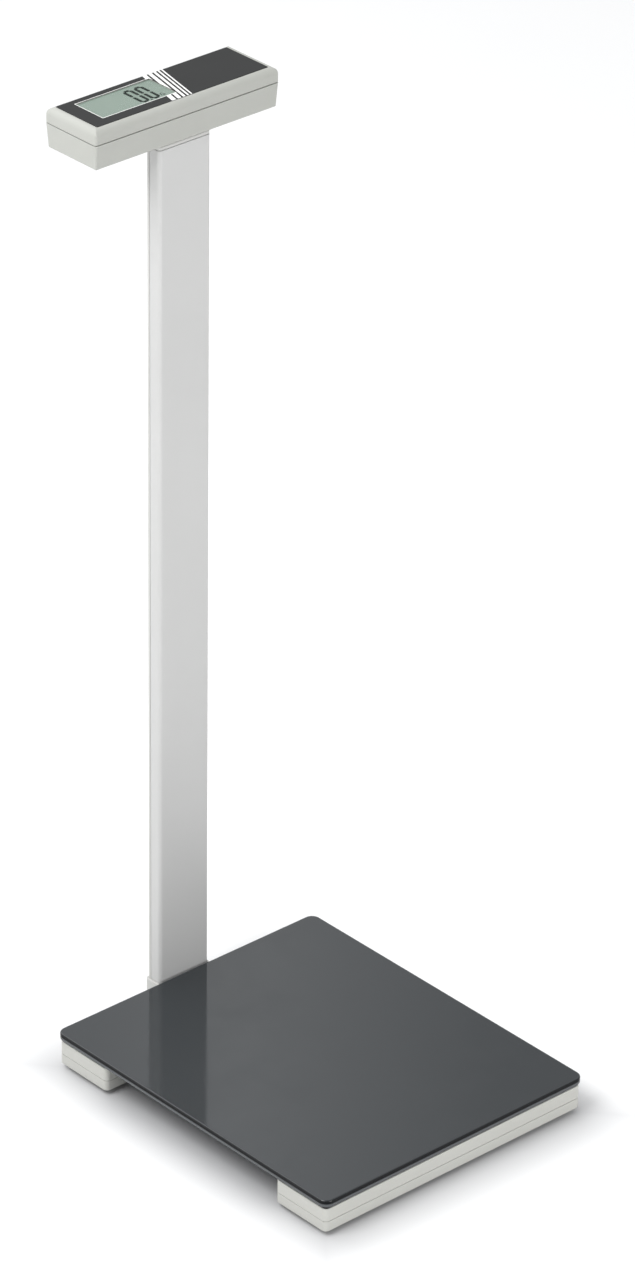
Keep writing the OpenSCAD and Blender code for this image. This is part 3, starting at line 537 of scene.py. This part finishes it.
lo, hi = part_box("rail_screws")
rail_ys = [sum(b.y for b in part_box(end + "_rail_top")) / 2 for end in ("front", "rear")]
screw_head_h = 2 * MM
spots = [(sx * screw_x, y + sy * screw_y, lo.z + screw_head_h) for y in rail_ys for sx in (-1, 1) for sy in (-1, 1)]
screw_group("rail_screws_cross_head", "rail_screws", 2.9 * MM, screw_head_h, 1.5 * MM,
            hi.z - lo.z - screw_head_h, spots, 3)


# ---------- leads and boards ----------
# Thin PVC-sheathed leads gather the four cells at a small board, and one cable runs up to the head.
# Both boards are glass-epoxy under green solder mask.
def pvc_sheath(name, pale, deep):
    """PVC extruded over a cable: satin, a little uneven, with a slight bloom."""
    material, tree, shader, place = start_material(name, Roughness=0.48)
    bloom = add(tree, "ShaderNodeTexNoise", {"Vector": place, "Scale": per(5), "Detail": 3})
    shade = add(tree, "ShaderNodeMix", {"Factor": bloom.outputs[0], 6: linear(deep), 7: linear(pale)},
                data_type="RGBA")
    bump = add(tree, "ShaderNodeBump", {"Height": bloom.outputs[0], "Strength": 0.2, "Distance": 0.05 * MM})
    tree.links.new(shade.outputs[2], shader.inputs["Base Color"])
    tree.links.new(bump.outputs[0], shader.inputs["Normal"])
    return material


finishes["lead_sheath"] = pvc_sheath("pvc_extruded_grey_lead", "#CBC8BF", "#B9B6AD")
finishes["cable_sheath"] = pvc_sheath("pvc_extruded_dark_cable", "#3B3C3F", "#2B2C2E")

# Glass-epoxy board with green solder mask: glossy, with paler copper tracks showing through
board, tree, shader, place = start_material("glass_epoxy_board_solder_mask", Roughness=0.28)
tracks = add(tree, "ShaderNodeTexBrick", {"Vector": place, "Scale": 1.0, "Mortar Size": 0.25 * MM,
                                          "Brick Width": 7 * MM, "Row Height": 1.8 * MM,
                                          "Color1": linear("#1F5A3A"), "Color2": linear("#235F3E"),
                                          "Mortar": linear("#3C8558")})
tree.links.new(tracks.outputs["Color"], shader.inputs["Base Color"])
finishes["circuit_board"] = board
finish_nodes("lead_sheath", "cable_sheath", "circuit_board")


# ---------- glass plate ----------
# A plate of dark tinted float glass, cut, its edges ground and polished to a small arris, then toughened.
# It lies bonded on the two rails, and people stand on it.
# Tinted toughened glass: nearly black in its depth, and mirror-smooth but for faint roller waves
glass, tree, shader, place = start_material("tinted_float_glass_toughened", IOR=1.52)
film = add(tree, "ShaderNodeTexNoise", {"Vector": place, "Scale": per(45), "Detail": 4})
gloss = add(tree, "ShaderNodeMapRange", {"Value": film.outputs[0], "From Min": 0.35, "From Max": 0.7,
                                         "To Min": 0.05, "To Max": 0.11})
height = add(tree, "ShaderNodeSeparateXYZ", {"Vector": place}).outputs["Z"]
# Painted reflection on the edge: its colour is banded by height, grey on the lower part and near black above, with the
# specular level banded to match; the top face keeps the glass's own dark tint
edge_painted_reflection = ramp(tree, height, (glass_lo.z, glass_hi.z), (
    (0.0, "#4C4F52"), (0.42, "#484B4E"), (0.54, "#0E1011"), (0.92, "#121416"), (0.98, "#292D30")))
edge_shine = ramp(tree, height, (glass_lo.z, glass_hi.z), (
    (0.0, "#BCBCBC"), (0.42, "#BCBCBC"), (0.54, "#585858"), (0.82, "#585858"), (0.90, "#BCBCBC")))
waves = add(tree, "ShaderNodeTexNoise", {"Vector": place, "Scale": per(160), "Detail": 0})
bump = add(tree, "ShaderNodeBump", {"Height": waves.outputs[0], "Strength": 0.15, "Distance": 0.3 * MM})
tree.links.new(edge_painted_reflection, shader.inputs["Base Color"])
tree.links.new(edge_shine, shader.inputs["Specular IOR Level"])
tree.links.new(gloss.outputs[0], shader.inputs["Roughness"])
tree.links.new(bump.outputs[0], shader.inputs["Normal"])

glass_r, arris = 10 * MM, 1.8 * MM
profile = arc(arris, glass_lo.z + arris, arris, -90, 0, 8) + arc(arris, glass_hi.z - arris, arris, 0, 90, 8)
plate = moulding("toughened_glass_plate", platform_w, glass_hi.y - glass_lo.y, glass_r, 0, platform_y, profile, 14)
finish_piece(plate, glass, "tinted_glass", "scale", "glass_plate")


# ---------- column ----------
# An extruded aluminium channel with round front corners, powder coated, is closed behind by a plastic
# strip. It stands in a moulded shoe behind the rear rail, and a thin moulded cap lies on its top.
sweep_tree, given = start_tree("extrusion", {"Length": "Float"})
ends = add(sweep_tree, "GeometryNodeFlipFaces", {"Mesh": given["Geometry"]})
run = add(sweep_tree, "GeometryNodeExtrudeMesh", {"Mesh": given["Geometry"], "Offset Scale": given["Length"],
                                                  "Individual": False}, mode="FACES")
both = add(sweep_tree, "GeometryNodeJoinGeometry", {"Geometry": run.outputs["Mesh"]})
sweep_tree.links.new(ends.outputs[0], both.inputs[0])
welded = add(sweep_tree, "GeometryNodeMergeByDistance", {"Geometry": both.outputs[0], "Distance": 0.001 * MM})
end_tree(sweep_tree, welded.outputs[0], given)


def extrusion(name, section, z, length, material):
    """An upright bar with this section, whose points run anticlockwise seen from above."""
    bar = new_piece(name, [(x, y, z) for x, y in section], [tuple(range(len(section)))])
    if bar.data.polygons[0].normal.z < 0:
        bar.data.flip_normals()
    grow(bar, sweep_tree, {"Length": length, "Material": material})
    return bar


def powder_coat(name, pale, deep):
    """Baked powder coat on aluminium: a smooth satin skin with the soft dimples of orange peel."""
    material, tree, shader, place = start_material(name)
    peel = add(tree, "ShaderNodeTexNoise", {"Vector": place, "Scale": per(2.2), "Detail": 1})
    cloud = add(tree, "ShaderNodeTexNoise", {"Vector": place, "Scale": per(120), "Detail": 2})
    shade = add(tree, "ShaderNodeMix", {"Factor": cloud.outputs[0], 6: linear(deep), 7: linear(pale)},
                data_type="RGBA")
    gloss = add(tree, "ShaderNodeMapRange", {"Value": peel.outputs[0], "To Min": 0.34, "To Max": 0.44})
    bump = add(tree, "ShaderNodeBump", {"Height": peel.outputs[0], "Strength": 0.3, "Distance": 0.04 * MM})
    tree.links.new(shade.outputs[2], shader.inputs["Base Color"])
    tree.links.new(gloss.outputs[0], shader.inputs["Roughness"])
    tree.links.new(bump.outputs[0], shader.inputs["Normal"])
    return material


column_paint = powder_coat("powder_coated_aluminium_light_grey", "#C3C3C2", "#BEBEBD")
column_plastic = moulded_plastic("abs_moulded_spark_grain_column", "#C6C6C3", "#C0C0BD", 0.5, 0.5)

lo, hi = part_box("column_profile")
col_w, col_r = hi.x - lo.x, 4 * MM
front_wall, side_wall = 3.5 * MM, 2 * MM
front = [p for p in outline(col_w, 4 * col_r, col_r, 0, lo.y + 2 * col_r, 12) if p[1] < lo.y + 2 * col_r]
section = [(-col_w / 2, hi.y)] + front + [(col_w / 2, hi.y), (col_w / 2 - side_wall, hi.y),
           (col_w / 2 - side_wall, lo.y + front_wall), (side_wall - col_w / 2, lo.y + front_wall),
           (side_wall - col_w / 2, hi.y)]
profile_bar = extrusion("aluminium_column_profile", section, lo.z, hi.z - lo.z, column_paint)
finish_piece(profile_bar, column_paint, "column_paint", "scale", "column_profile")

lo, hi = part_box("column_rear_strip")
strip_d = 3.6 * MM
strip_y, strip_r = hi.y - strip_d / 2, 1.2 * MM
back = [p for p in outline(col_w, strip_d, strip_r, 0, strip_y, 6) if p[1] > strip_y]
rib_x, rib_w = col_w / 2 - side_wall - 0.2 * MM, 1.6 * MM
rib_y, flat_y = lo.y, hi.y - strip_d
section = back + [(-col_w / 2, flat_y), (-rib_x, flat_y), (-rib_x, rib_y), (rib_w - rib_x, rib_y),
                  (rib_w - rib_x, flat_y), (rib_x - rib_w, flat_y), (rib_x - rib_w, rib_y), (rib_x, rib_y),
                  (rib_x, flat_y), (col_w / 2, flat_y)]
strip = extrusion("column_rear_strip_extruded", section, lo.z, hi.z - lo.z, column_plastic)
finish_piece(strip, column_plastic, "column_plastic", "scale", "column_rear_strip")

lo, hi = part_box("column_shoe")
shoe_w, shoe_d, shoe_r = hi.x - lo.x, 22 * MM, 4 * MM
shoe_y = hi.y - shoe_d / 2
lip = 0.8 * MM
profile = [(0.3 * MM, lo.z), (0, lo.z + 0.3 * MM)] + arc(lip, hi.z - lip, lip, 0, 90)
shoe = moulding("column_shoe_moulded", shoe_w, shoe_d, shoe_r, 0, shoe_y, profile)
neck_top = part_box("rear_rail_top")[1].z - 2 * MM
neck_d = hi.y - shoe_d / 2 - lo.y
profile = [(0, lo.z)] + arc(lip, neck_top - lip, lip, 0, 90)
combine(shoe, "UNION", [moulding("neck", col_w, neck_d, 1.5 * MM, 0, lo.y + neck_d / 2, profile)])
profile_lo, strip_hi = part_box("column_profile")[0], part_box("column_rear_strip")[1]
fit = 0.15 * MM
combine(shoe, "DIFFERENCE", [
    block((profile_lo.x - fit, profile_lo.y - fit, profile_lo.z), (-profile_lo.x + fit, strip_hi.y + fit, hi.z + MM)),
    block((bracket_lo.x, lo.y - MM, bracket_lo.z), (bracket_hi.x, profile_lo.y + MM, bracket_lo.z + 3.1 * MM))])
finish_piece(shoe, column_plastic, "column_plastic", "scale", "column_shoe")

lo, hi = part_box("column_cap")
edge = 0.5 * MM
profile = [(edge, lo.z), (0, lo.z + edge), (0, hi.z - edge), (edge, hi.z)]
corner_rounds = (MM, MM, col_r, col_r)
cap = moulding("column_cap_moulded", hi.x - lo.x, hi.y - lo.y, corner_rounds, 0, (lo.y + hi.y) / 2, profile)
head_bracket_lo, head_bracket_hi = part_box("head_bracket")
leg_y = head_bracket_lo.y
slot_w, slot_d = head_bracket_hi.x + 0.2 * MM, 9 * MM
combine(cap, "DIFFERENCE", [block((-slot_w, leg_y - 0.2 * MM, lo.z - MM), (slot_w, leg_y + slot_d, hi.z + MM))])
finish_piece(cap, column_plastic, "column_plastic", "scale", "column_cap")


# ---------- display head, lower shell ----------
# An ABS shell that narrows a little downwards, so that it leaves the tool. It has a shallow boss that
# sits on the column, posts for the screws, a bay for the battery and a hole for the button.
head_plastic = moulded_plastic("abs_moulded_spark_grain_head", "#B0B1AC", "#AAABA5", 0.48, 0.5)

lo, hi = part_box("head_case")
lid_lo, lid_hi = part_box("head_lid")
case_w, case_d, case_y = hi.x - lo.x, lid_hi.y - lid_lo.y, (lid_lo.y + lid_hi.y) / 2
case_z, case_top = lo.z + 1.4 * MM, lid_lo.z - 0.9 * MM
taper, head_r, low_round = 2 * MM, 3 * MM, 1.2 * MM
profile = arc(taper + low_round, case_z + low_round, low_round, -90, -7)
profile += arc(seam_round, case_top - seam_round, seam_round, 0, 90, 3)
profile += [(wall + tongue_gap, case_top), (wall + tongue_gap, case_top + 3 * MM), (wall + tongue_w, case_top + 3 * MM),
            (wall + tongue_w, case_top - 2 * MM), (wall, case_top - 2.2 * MM), (taper + wall, case_z + wall)]
case = moulding("head_lower_shell", case_w, case_d, head_r, 0, case_y, profile, 12)

boss_w, boss_d, boss_y = 74 * MM, 23 * MM, profile_lo.y
boss_profile = [(0.4 * MM, lo.z), (0, lo.z + 0.4 * MM), (0, case_z + MM)]
boss = moulding("boss", boss_w, boss_d, 4 * MM, 0, boss_y + boss_d / 2, boss_profile)
screws_lo, screws_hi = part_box("head_screws")
post_x = (screws_lo.x + 2.9 * MM, screws_hi.x - 2.9 * MM)
post_y = (screws_lo.y + 2.9 * MM, screws_hi.y - 2.9 * MM)
board_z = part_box("main_board")[0].z
posts = [rod(4.5 * MM, (x, y, case_z + MM), (x, y, board_z)) for x in post_x for y in post_y]
door_lo, door_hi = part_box("battery_door")
bay_x, bay_half_w, bay_half_d = -74 * MM, 29 * MM, 26 * MM
hinge_x, hinge_z, pin_r = -101.3 * MM, case_z + 1.4 * MM, 0.95 * MM
ear, ear_h = 3.4 * MM, 3.1 * MM
ears = [block((hinge_x - 2.5 * MM, case_y + y0, case_z + 0.2 * MM), (hinge_x + 2.5 * MM, case_y + y0 + ear, case_z + ear_h))
        for y0 in (bay_half_d, -bay_half_d - ear)]
combine(case, "UNION", [boss] + posts + ears)

shelf_lo, shelf_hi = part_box("head_bracket_screws")
shelf_x, shelf_y = shelf_hi.x - 3.4 * MM, (shelf_lo.y + 3.4 * MM, shelf_hi.y - 3.4 * MM)
button_lo, button_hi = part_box("power_button")
button_x, button_z = (button_lo.x + button_hi.x) / 2, (button_lo.z + button_hi.z) / 2
holes = [block((-slot_w, leg_y - 0.2 * MM, lo.z - MM), (slot_w, leg_y + slot_d, case_z + wall + MM)),
         block((bay_x - bay_half_w, case_y - bay_half_d, lo.z - MM), (bay_x + bay_half_w, case_y + bay_half_d, case_z + wall + MM)),
         rod(5.8 * MM, (button_x, lid_hi.y - 10 * MM, button_z), (button_x, lid_hi.y + MM, button_z), 48),
         rod(pin_r, (hinge_x, case_y - bay_half_d - ear - MM, hinge_z), (hinge_x, case_y + bay_half_d + ear + MM, hinge_z))]
for x in post_x:
    for y in post_y:
        holes += [rod(1.6 * MM, (x, y, case_z - MM), (x, y, board_z + MM)),
                  rod(3.4 * MM, (x, y, case_z - MM), (x, y, case_z + 4 * MM))]
for x in (-shelf_x, shelf_x):
    for y in shelf_y:
        holes += [rod(2 * MM, (x, y, lo.z - MM), (x, y, case_z + wall + MM)),
                  rod(3.5 * MM, (x, y, lo.z - MM), (x, y, case_z + MM))]
combine(case, "DIFFERENCE", holes)
finish_piece(case, head_plastic, "head_plastic", "scale", "head_case")

spots = [(x, y, screws_lo.z + screw_head_h) for x in post_x for y in post_y]
screw_group("head_screws_cross_head", "head_screws", 2.9 * MM, screw_head_h, 1.4 * MM,
            screws_hi.z - screws_lo.z - screw_head_h, spots, 5)
shelf_head_h = MM
spots = [(x, y, shelf_lo.z + shelf_head_h) for x in (-shelf_x, shelf_x) for y in shelf_y]
screw_group("head_bracket_screws_cross_head", "head_bracket_screws", 3.4 * MM, shelf_head_h, 2 * MM,
            shelf_hi.z - shelf_lo.z - shelf_head_h, spots, 8)


# ---------- display head, upper shell ----------
# A shallow ABS lid with a large round along its top edge and a recess-free flat for the printed film.
# An opening in the flat takes the liquid-crystal window.
lid_h, top_round, roof = lid_hi.z - lid_lo.z, 7 * MM, 3 * MM
profile = arc(top_round, lid_hi.z - top_round, top_round, 90, 0, 14)
profile += arc(seam_round, lid_lo.z + seam_round, seam_round, 0, -90, 3)
profile += [(wall, lid_lo.z), (wall, lid_hi.z - roof - 2 * MM), (wall + 2 * MM, lid_hi.z - roof)]
lid = moulding("head_upper_shell", case_w, case_d, head_r, 0, case_y, profile, 14)
window_lo, window_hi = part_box("display_window")
window_x, window_y = (window_lo.x + window_hi.x) / 2, (window_lo.y + window_hi.y) / 2
opening_w, opening_d = window_hi.x - window_lo.x + 0.2 * MM, window_hi.y - window_lo.y + 0.2 * MM


def window_cutter():
    return block((window_x - opening_w / 2, window_y - opening_d / 2, lid_lo.z),
                 (window_x + opening_w / 2, window_y + opening_d / 2, lid_hi.z + 2 * MM))


combine(lid, "DIFFERENCE", [window_cutter()])
finish_piece(lid, head_plastic, "head_plastic", "scale", "head_lid")


# ---------- printed film ----------
# A sheet of polyester, screen printed dark grey on its back, die cut and stuck on the lid.
# Five white stripes of falling width slant across it beside the window. A pale line on three sides of the window is a
# painted highlight on its edge.
# Polyester film, back printed: an even deep grey under a satin surface with a very fine emboss
film_print, tree, shader, place = start_material("polyester_film_back_printed_grey", Specular_IOR_Level=0.2)
emboss = add(tree, "ShaderNodeTexNoise", {"Vector": place, "Scale": per(0.35), "Detail": 2})
tone = add(tree, "ShaderNodeTexNoise", {"Vector": place, "Scale": per(40), "Detail": 2})
shade = add(tree, "ShaderNodeMix", {"Factor": tone.outputs[0], 6: linear("#1D1E1E"), 7: linear("#222323")},
            data_type="RGBA")
gloss = add(tree, "ShaderNodeMapRange", {"Value": emboss.outputs[0], "To Min": 0.38, "To Max": 0.5})
bump = add(tree, "ShaderNodeBump", {"Height": emboss.outputs[0], "Strength": 0.2, "Distance": 0.02 * MM})
tree.links.new(shade.outputs[2], shader.inputs["Base Color"])
tree.links.new(gloss.outputs[0], shader.inputs["Roughness"])
tree.links.new(bump.outputs[0], shader.inputs["Normal"])

lo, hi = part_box("overlay")
film_w, film_d, film_y = hi.x - lo.x, hi.y - lo.y, (lo.y + hi.y) / 2
die_edge = 0.12 * MM
film = moulding("printed_film", film_w, film_d, MM, 0, film_y,
                [(0, lo.z), (0, hi.z - die_edge), (die_edge, hi.z)])
combine(film, "DIFFERENCE", [window_cutter()])
finish_piece(film, film_print, "printed_overlay", "scale", "overlay")

# Screen-printed white ink: flat and clean, a touch uneven where the mesh left it
white_ink, tree, shader, place = start_material("screen_printed_ink_white", Roughness=0.42)
mesh_mark = add(tree, "ShaderNodeTexNoise", {"Vector": place, "Scale": per(1.5), "Detail": 2})
shade = add(tree, "ShaderNodeMix", {"Factor": mesh_mark.outputs[0], 6: linear("#EDEEEC"), 7: linear("#F6F6F4")},
            data_type="RGBA")
tree.links.new(shade.outputs[2], shader.inputs["Base Color"])

ink_t = 0.03 * MM
stripe_widths = (4.9, 4.1, 2.8, 2.0, 1.6)
stripe_gap = 2.3
slant = tan(radians(13.4)) * film_d
stripe_x = -13.8 * MM
vertices, faces = [], []


def printed(outline_points, z, thickness):
    """Adds a thin flat patch to the lists of vertices and faces: its outline, at z, this thick."""
    n, count = len(vertices), len(outline_points)
    vertices.extend((x, y, z + rise) for rise in (0, thickness) for x, y in outline_points)
    faces.extend([tuple(range(n, n + count)), tuple(range(n + count, n + 2 * count))])
    faces.extend((n + i, n + (i + 1) % count, n + count + (i + 1) % count, n + count + i) for i in range(count))


for stripe in stripe_widths:
    left, right = stripe_x, stripe_x + stripe * MM
    printed([(left, lo.y), (right, lo.y), (right + slant, hi.y), (left + slant, hi.y)], hi.z, ink_t)
    stripe_x = right + stripe_gap * MM
stripes = new_piece("film_stripes", vertices, faces)
combine(stripes, "DIFFERENCE", [window_cutter()])
finish_piece(stripes, white_ink, "printed_overlay", "scale")

# Painted highlight: a pale line along the window's left, front and back edges, where its bevel would catch the light
# from the left, and none on the right
painted_window_highlight = white_ink.copy()
painted_window_highlight.name = "screen_printed_ink_pale_grey"
line_w, line_lift = 0.7 * MM, 2 * ink_t
line_lo = (window_x - opening_w / 2, window_y - opening_d / 2)
line_hi = (window_x + opening_w / 2, window_y + opening_d / 2)
vertices, faces = [], []
for x0, y0, x1, y1 in ((line_lo[0] - line_w, line_lo[1] - line_w, line_lo[0], line_hi[1] + line_w),
                       (line_lo[0], line_lo[1] - line_w, line_hi[0] - line_w, line_lo[1]),
                       (line_lo[0], line_hi[1], line_hi[0] - line_w, line_hi[1] + line_w)):
    printed([(x0, y0), (x1, y0), (x1, y1), (x0, y1)], hi.z, line_lift)
finish_piece(new_piece("window_outline", vertices, faces), painted_window_highlight, "printed_overlay", "scale")


# ---------- liquid-crystal display ----------
# A reflective liquid-crystal cell: two glass sheets with a grey-green polariser, in a black frame on the
# main board. Dark seven-segment digits read 0.0. A clear acrylic window covers it, flush with the film.
# Polariser over liquid-crystal glass: pale grey-green and satin, its tone drifting faintly at random
polariser, tree, shader, place = start_material("polariser_on_liquid_crystal_glass", Roughness=0.32)
drift = add(tree, "ShaderNodeTexNoise", {"Vector": place, "Scale": per(60), "Detail": 1})
shade = add(tree, "ShaderNodeMix", {"Factor": drift.outputs[0], 6: linear("#75857A"), 7: linear("#7F8F84")},
            data_type="RGBA")
tree.links.new(shade.outputs[2], shader.inputs["Base Color"])
finishes["display_glass"] = polariser
finish_nodes("display_glass")

# Liquid crystal that is switched on: blue-black, without shine of its own
dark_crystal, tree, shader, place = start_material("liquid_crystal_switched_on", Roughness=0.5,
                                                   Specular_IOR_Level=0.0)
drift = add(tree, "ShaderNodeTexNoise", {"Vector": place, "Scale": per(8), "Detail": 1})
shade = add(tree, "ShaderNodeMix", {"Factor": drift.outputs[0], 6: linear("#0B0F0E"), 7: linear("#121816")},
            data_type="RGBA")
tree.links.new(shade.outputs[2], shader.inputs["Base Color"])

module_lo, module_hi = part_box("display_module")
digit_w, digit_h, bar = 10.9 * MM, 31.6 * MM, 3.4 * MM
segment_gap = 0.35 * MM
crystal_t = 0.02 * MM
vertices, faces = [], []


def flat_bar(start, end, width=bar):
    """A bar with pointed ends between two points on the display's face."""
    run = (Vector(end) - Vector(start)).normalized()
    side, tip_in = Vector((-run.y, run.x)) * width / 2, run * width / 3
    points = [Vector(start), Vector(start) + tip_in + side, Vector(end) - tip_in + side,
              Vector(end), Vector(end) - tip_in - side, Vector(start) + tip_in - side]
    printed([tuple(p) for p in points], module_hi.z, crystal_t)


digits_y = 184.7 * MM
digit_xs = (-37.2 * MM, -24.1 * MM)
for digit_x in digit_xs:
    left, right = digit_x + bar / 2, digit_x + digit_w - bar / 2
    low, high = digits_y + bar / 2, digits_y + digit_h - bar / 2
    mid = (low + high) / 2
    g = segment_gap
    flat_bar((left + g, low), (right - g, low))
    flat_bar((left + g, high), (right - g, high))
    for x in (left, right):
        flat_bar((x, low + g), (x, mid - g))
        flat_bar((x, mid + g), (x, high - g))
# The decimal point, and a small sign like a scale's weight for the unit
point_x, point_r = digit_xs[1] - 1.2 * MM, 0.9 * MM
printed(outline(2 * point_r, 2 * point_r, point_r, point_x, digits_y + point_r), module_hi.z, crystal_t)
sign_x, sign_y, sign_w, sign_h, sign_bar = -9.7 * MM, 186.8 * MM, 4.4 * MM, 4.4 * MM, 0.8 * MM
foot_left, foot_right = (sign_x - sign_w / 2, sign_y), (sign_x + sign_w / 2, sign_y)
top_left, top_right = (sign_x - sign_w / 4, sign_y + sign_h), (sign_x + sign_w / 4, sign_y + sign_h)
for start, end in ((foot_left, foot_right), (foot_left, top_left), (top_left, top_right), (top_right, foot_right)):
    flat_bar(start, end, sign_bar)
digits = new_piece("display_digits", vertices, faces)
finish_piece(digits, dark_crystal, "display_glass", "scale")

# Clear cast acrylic: almost unseen, a faint cool tint and a soft sheen
acrylic, tree, shader, place = start_material("clear_acrylic_cast", Alpha=0.04, IOR=1.49)
shader.inputs["Base Color"].default_value = linear("#A9B8AF")
wipe = add(tree, "ShaderNodeTexNoise", {"Vector": place, "Scale": per(20), "Detail": 3})
gloss = add(tree, "ShaderNodeMapRange", {"Value": wipe.outputs[0], "To Min": 0.06, "To Max": 0.16})
tree.links.new(gloss.outputs[0], shader.inputs["Roughness"])
window_edge, air_gap = 0.2 * MM, 0.1 * MM
window = moulding("display_window_acrylic", window_hi.x - window_lo.x, window_hi.y - window_lo.y, 0.5 * MM, window_x,
                  window_y, [(0, window_lo.z + air_gap), (0, window_hi.z - window_edge), (window_edge, window_hi.z)])
finish_piece(window, acrylic, "clear_window", "scale", "display_window")


# ---------- battery bay ----------
# A black ABS tray holds four cells in a row, each turned the other way round from its neighbour,
# between nickel-plated springs and plates.
black_abs = moulded_plastic("abs_moulded_black", "#242425", "#1C1C1D", 0.5, 0.5)
finishes["switch_plastic"] = black_abs

# Nickel-plated spring steel: bright and warm, with fine drawing marks
nickel, tree, shader, place = start_material("nickel_plated_spring_steel", Metallic=1.0)
shader.inputs["Base Color"].default_value = linear("#D9D3C6")
drawn = add(tree, "ShaderNodeTexNoise", {"Vector": place, "Scale": per(0.8), "Detail": 2})
gloss = add(tree, "ShaderNodeMapRange", {"Value": drawn.outputs[0], "To Min": 0.14, "To Max": 0.3})
tree.links.new(gloss.outputs[0], shader.inputs["Roughness"])
finishes["contact_steel"] = nickel

# Printed shrink sleeve on a steel can: glossy dark blue with a pale band at the middle of its length
sleeve, tree, shader, place = start_material("printed_shrink_sleeve", Roughness=0.25)
along = add(tree, "ShaderNodeSeparateXYZ", {"Vector": place})
cells_lo, cells_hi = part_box("battery_cells")
can, blue, pale_band = "#B9BBBD", "#22304F", "#C9CDD2"
tones = ramp(tree, along.outputs["Y"], (cells_lo.y, cells_hi.y), (
    (0.05, can), (0.07, blue), (0.41, blue), (0.43, pale_band), (0.57, pale_band), (0.59, blue), (0.93, blue), (0.95, can)))
tree.links.new(tones, shader.inputs["Base Color"])
finishes["cell_can"] = sleeve
finish_nodes("switch_plastic", "contact_steel", "cell_can")


# ---------- battery door ----------
# An ABS flap with two moulded pins that snap into ears beside the bay. It closes flush with the head's
# underside, and a thumb groove with a row of grip ribs opens it.
row_tree, given = start_tree("ribs in a row", {"Count": "Int", "Rib": "Vector", "First": "Vector", "Step": "Vector"})
line = add(row_tree, "GeometryNodeMeshLine", {"Count": given["Count"], "Start Location": given["First"],
                                              "Offset": given["Step"]}, mode="OFFSET", count_mode="TOTAL")
rib = add(row_tree, "GeometryNodeMeshCube", {"Size": given["Rib"]})
ribs = add(row_tree, "GeometryNodeInstanceOnPoints", {"Points": line.outputs[0], "Instance": rib.outputs[0]})
joined = add(row_tree, "GeometryNodeJoinGeometry", {"Geometry": given["Geometry"]})
row_tree.links.new(ribs.outputs[0], joined.inputs[0])
end_tree(row_tree, joined.outputs[0], given)

door_gap, door_t = 0.3 * MM, 2 * MM
door_half_d = bay_half_d - door_gap
free_x = bay_x + bay_half_w - door_gap
door_edge = 0.4 * MM
flap_w = free_x - hinge_x
profile = [(door_edge, case_z), (0, case_z + door_edge), (0, case_z + door_t - door_edge), (door_edge, case_z + door_t)]
door = moulding("battery_door_moulded", flap_w, 2 * door_half_d, 0.6 * MM, hinge_x + flap_w / 2, case_y, profile, 4)
combine(door, "UNION", [rod(1.4 * MM, (hinge_x, case_y - door_half_d, hinge_z), (hinge_x, case_y + door_half_d, hinge_z)),
                        rod(0.9 * MM, (hinge_x, door_lo.y, hinge_z), (hinge_x, door_hi.y, hinge_z))])
groove_x, groove_r, groove_half = free_x - 7 * MM, 2 * MM, 8 * MM
combine(door, "DIFFERENCE", [rod(groove_r, (groove_x, case_y - groove_half, case_z - 1.2 * MM),
                                 (groove_x, case_y + groove_half, case_z - 1.2 * MM))])
grow(door, row_tree, {"Count": 7, "Rib": (0.8 * MM, 14 * MM, 0.5 * MM), "Step": (-1.8 * MM, 0, 0),
                      "First": (groove_x - 4 * MM, case_y, case_z + 0.15 * MM), "Material": head_plastic})
finish_piece(door, head_plastic, "head_plastic", "battery_door", "battery_door")


# ---------- power button ----------
# A mid-grey ABS cap with a dished face, on a stem that presses a switch on the main board.
# A flange inside the wall keeps it from falling out.
button_plastic = moulded_plastic("abs_moulded_mid_grey", "#8B8E91", "#838689", 0.45, 0.5)
cap_r, stem_r, flange_r, flange_t = 5.5 * MM, 2 * MM, 7 * MM, 1.5 * MM
cap_end = button_hi.y
flange_y = button_lo.y + 7.5 * MM
dish, rim = 0.35 * MM, 0.6 * MM
profile = [(0, button_lo.y), (stem_r, button_lo.y), (stem_r, flange_y - flange_t), (flange_r, flange_y - flange_t),
           (flange_r, flange_y), (cap_r, flange_y), (cap_r, cap_end - rim), (cap_r - 0.2 * MM, cap_end - 0.15 * MM),
           (cap_r - rim, cap_end), (cap_r - 2 * rim, cap_end - 0.15 * MM), (cap_r / 3, cap_end - dish), (0, cap_end - dish)]
button = turned("power_button_cap", profile, steps=72)
button.data.transform(Matrix.Translation((button_x, 0, button_z)) @ Matrix.Rotation(radians(-90), 4, "X"))
finish_piece(button, button_plastic, "button_plastic", "power_button", "power_button")
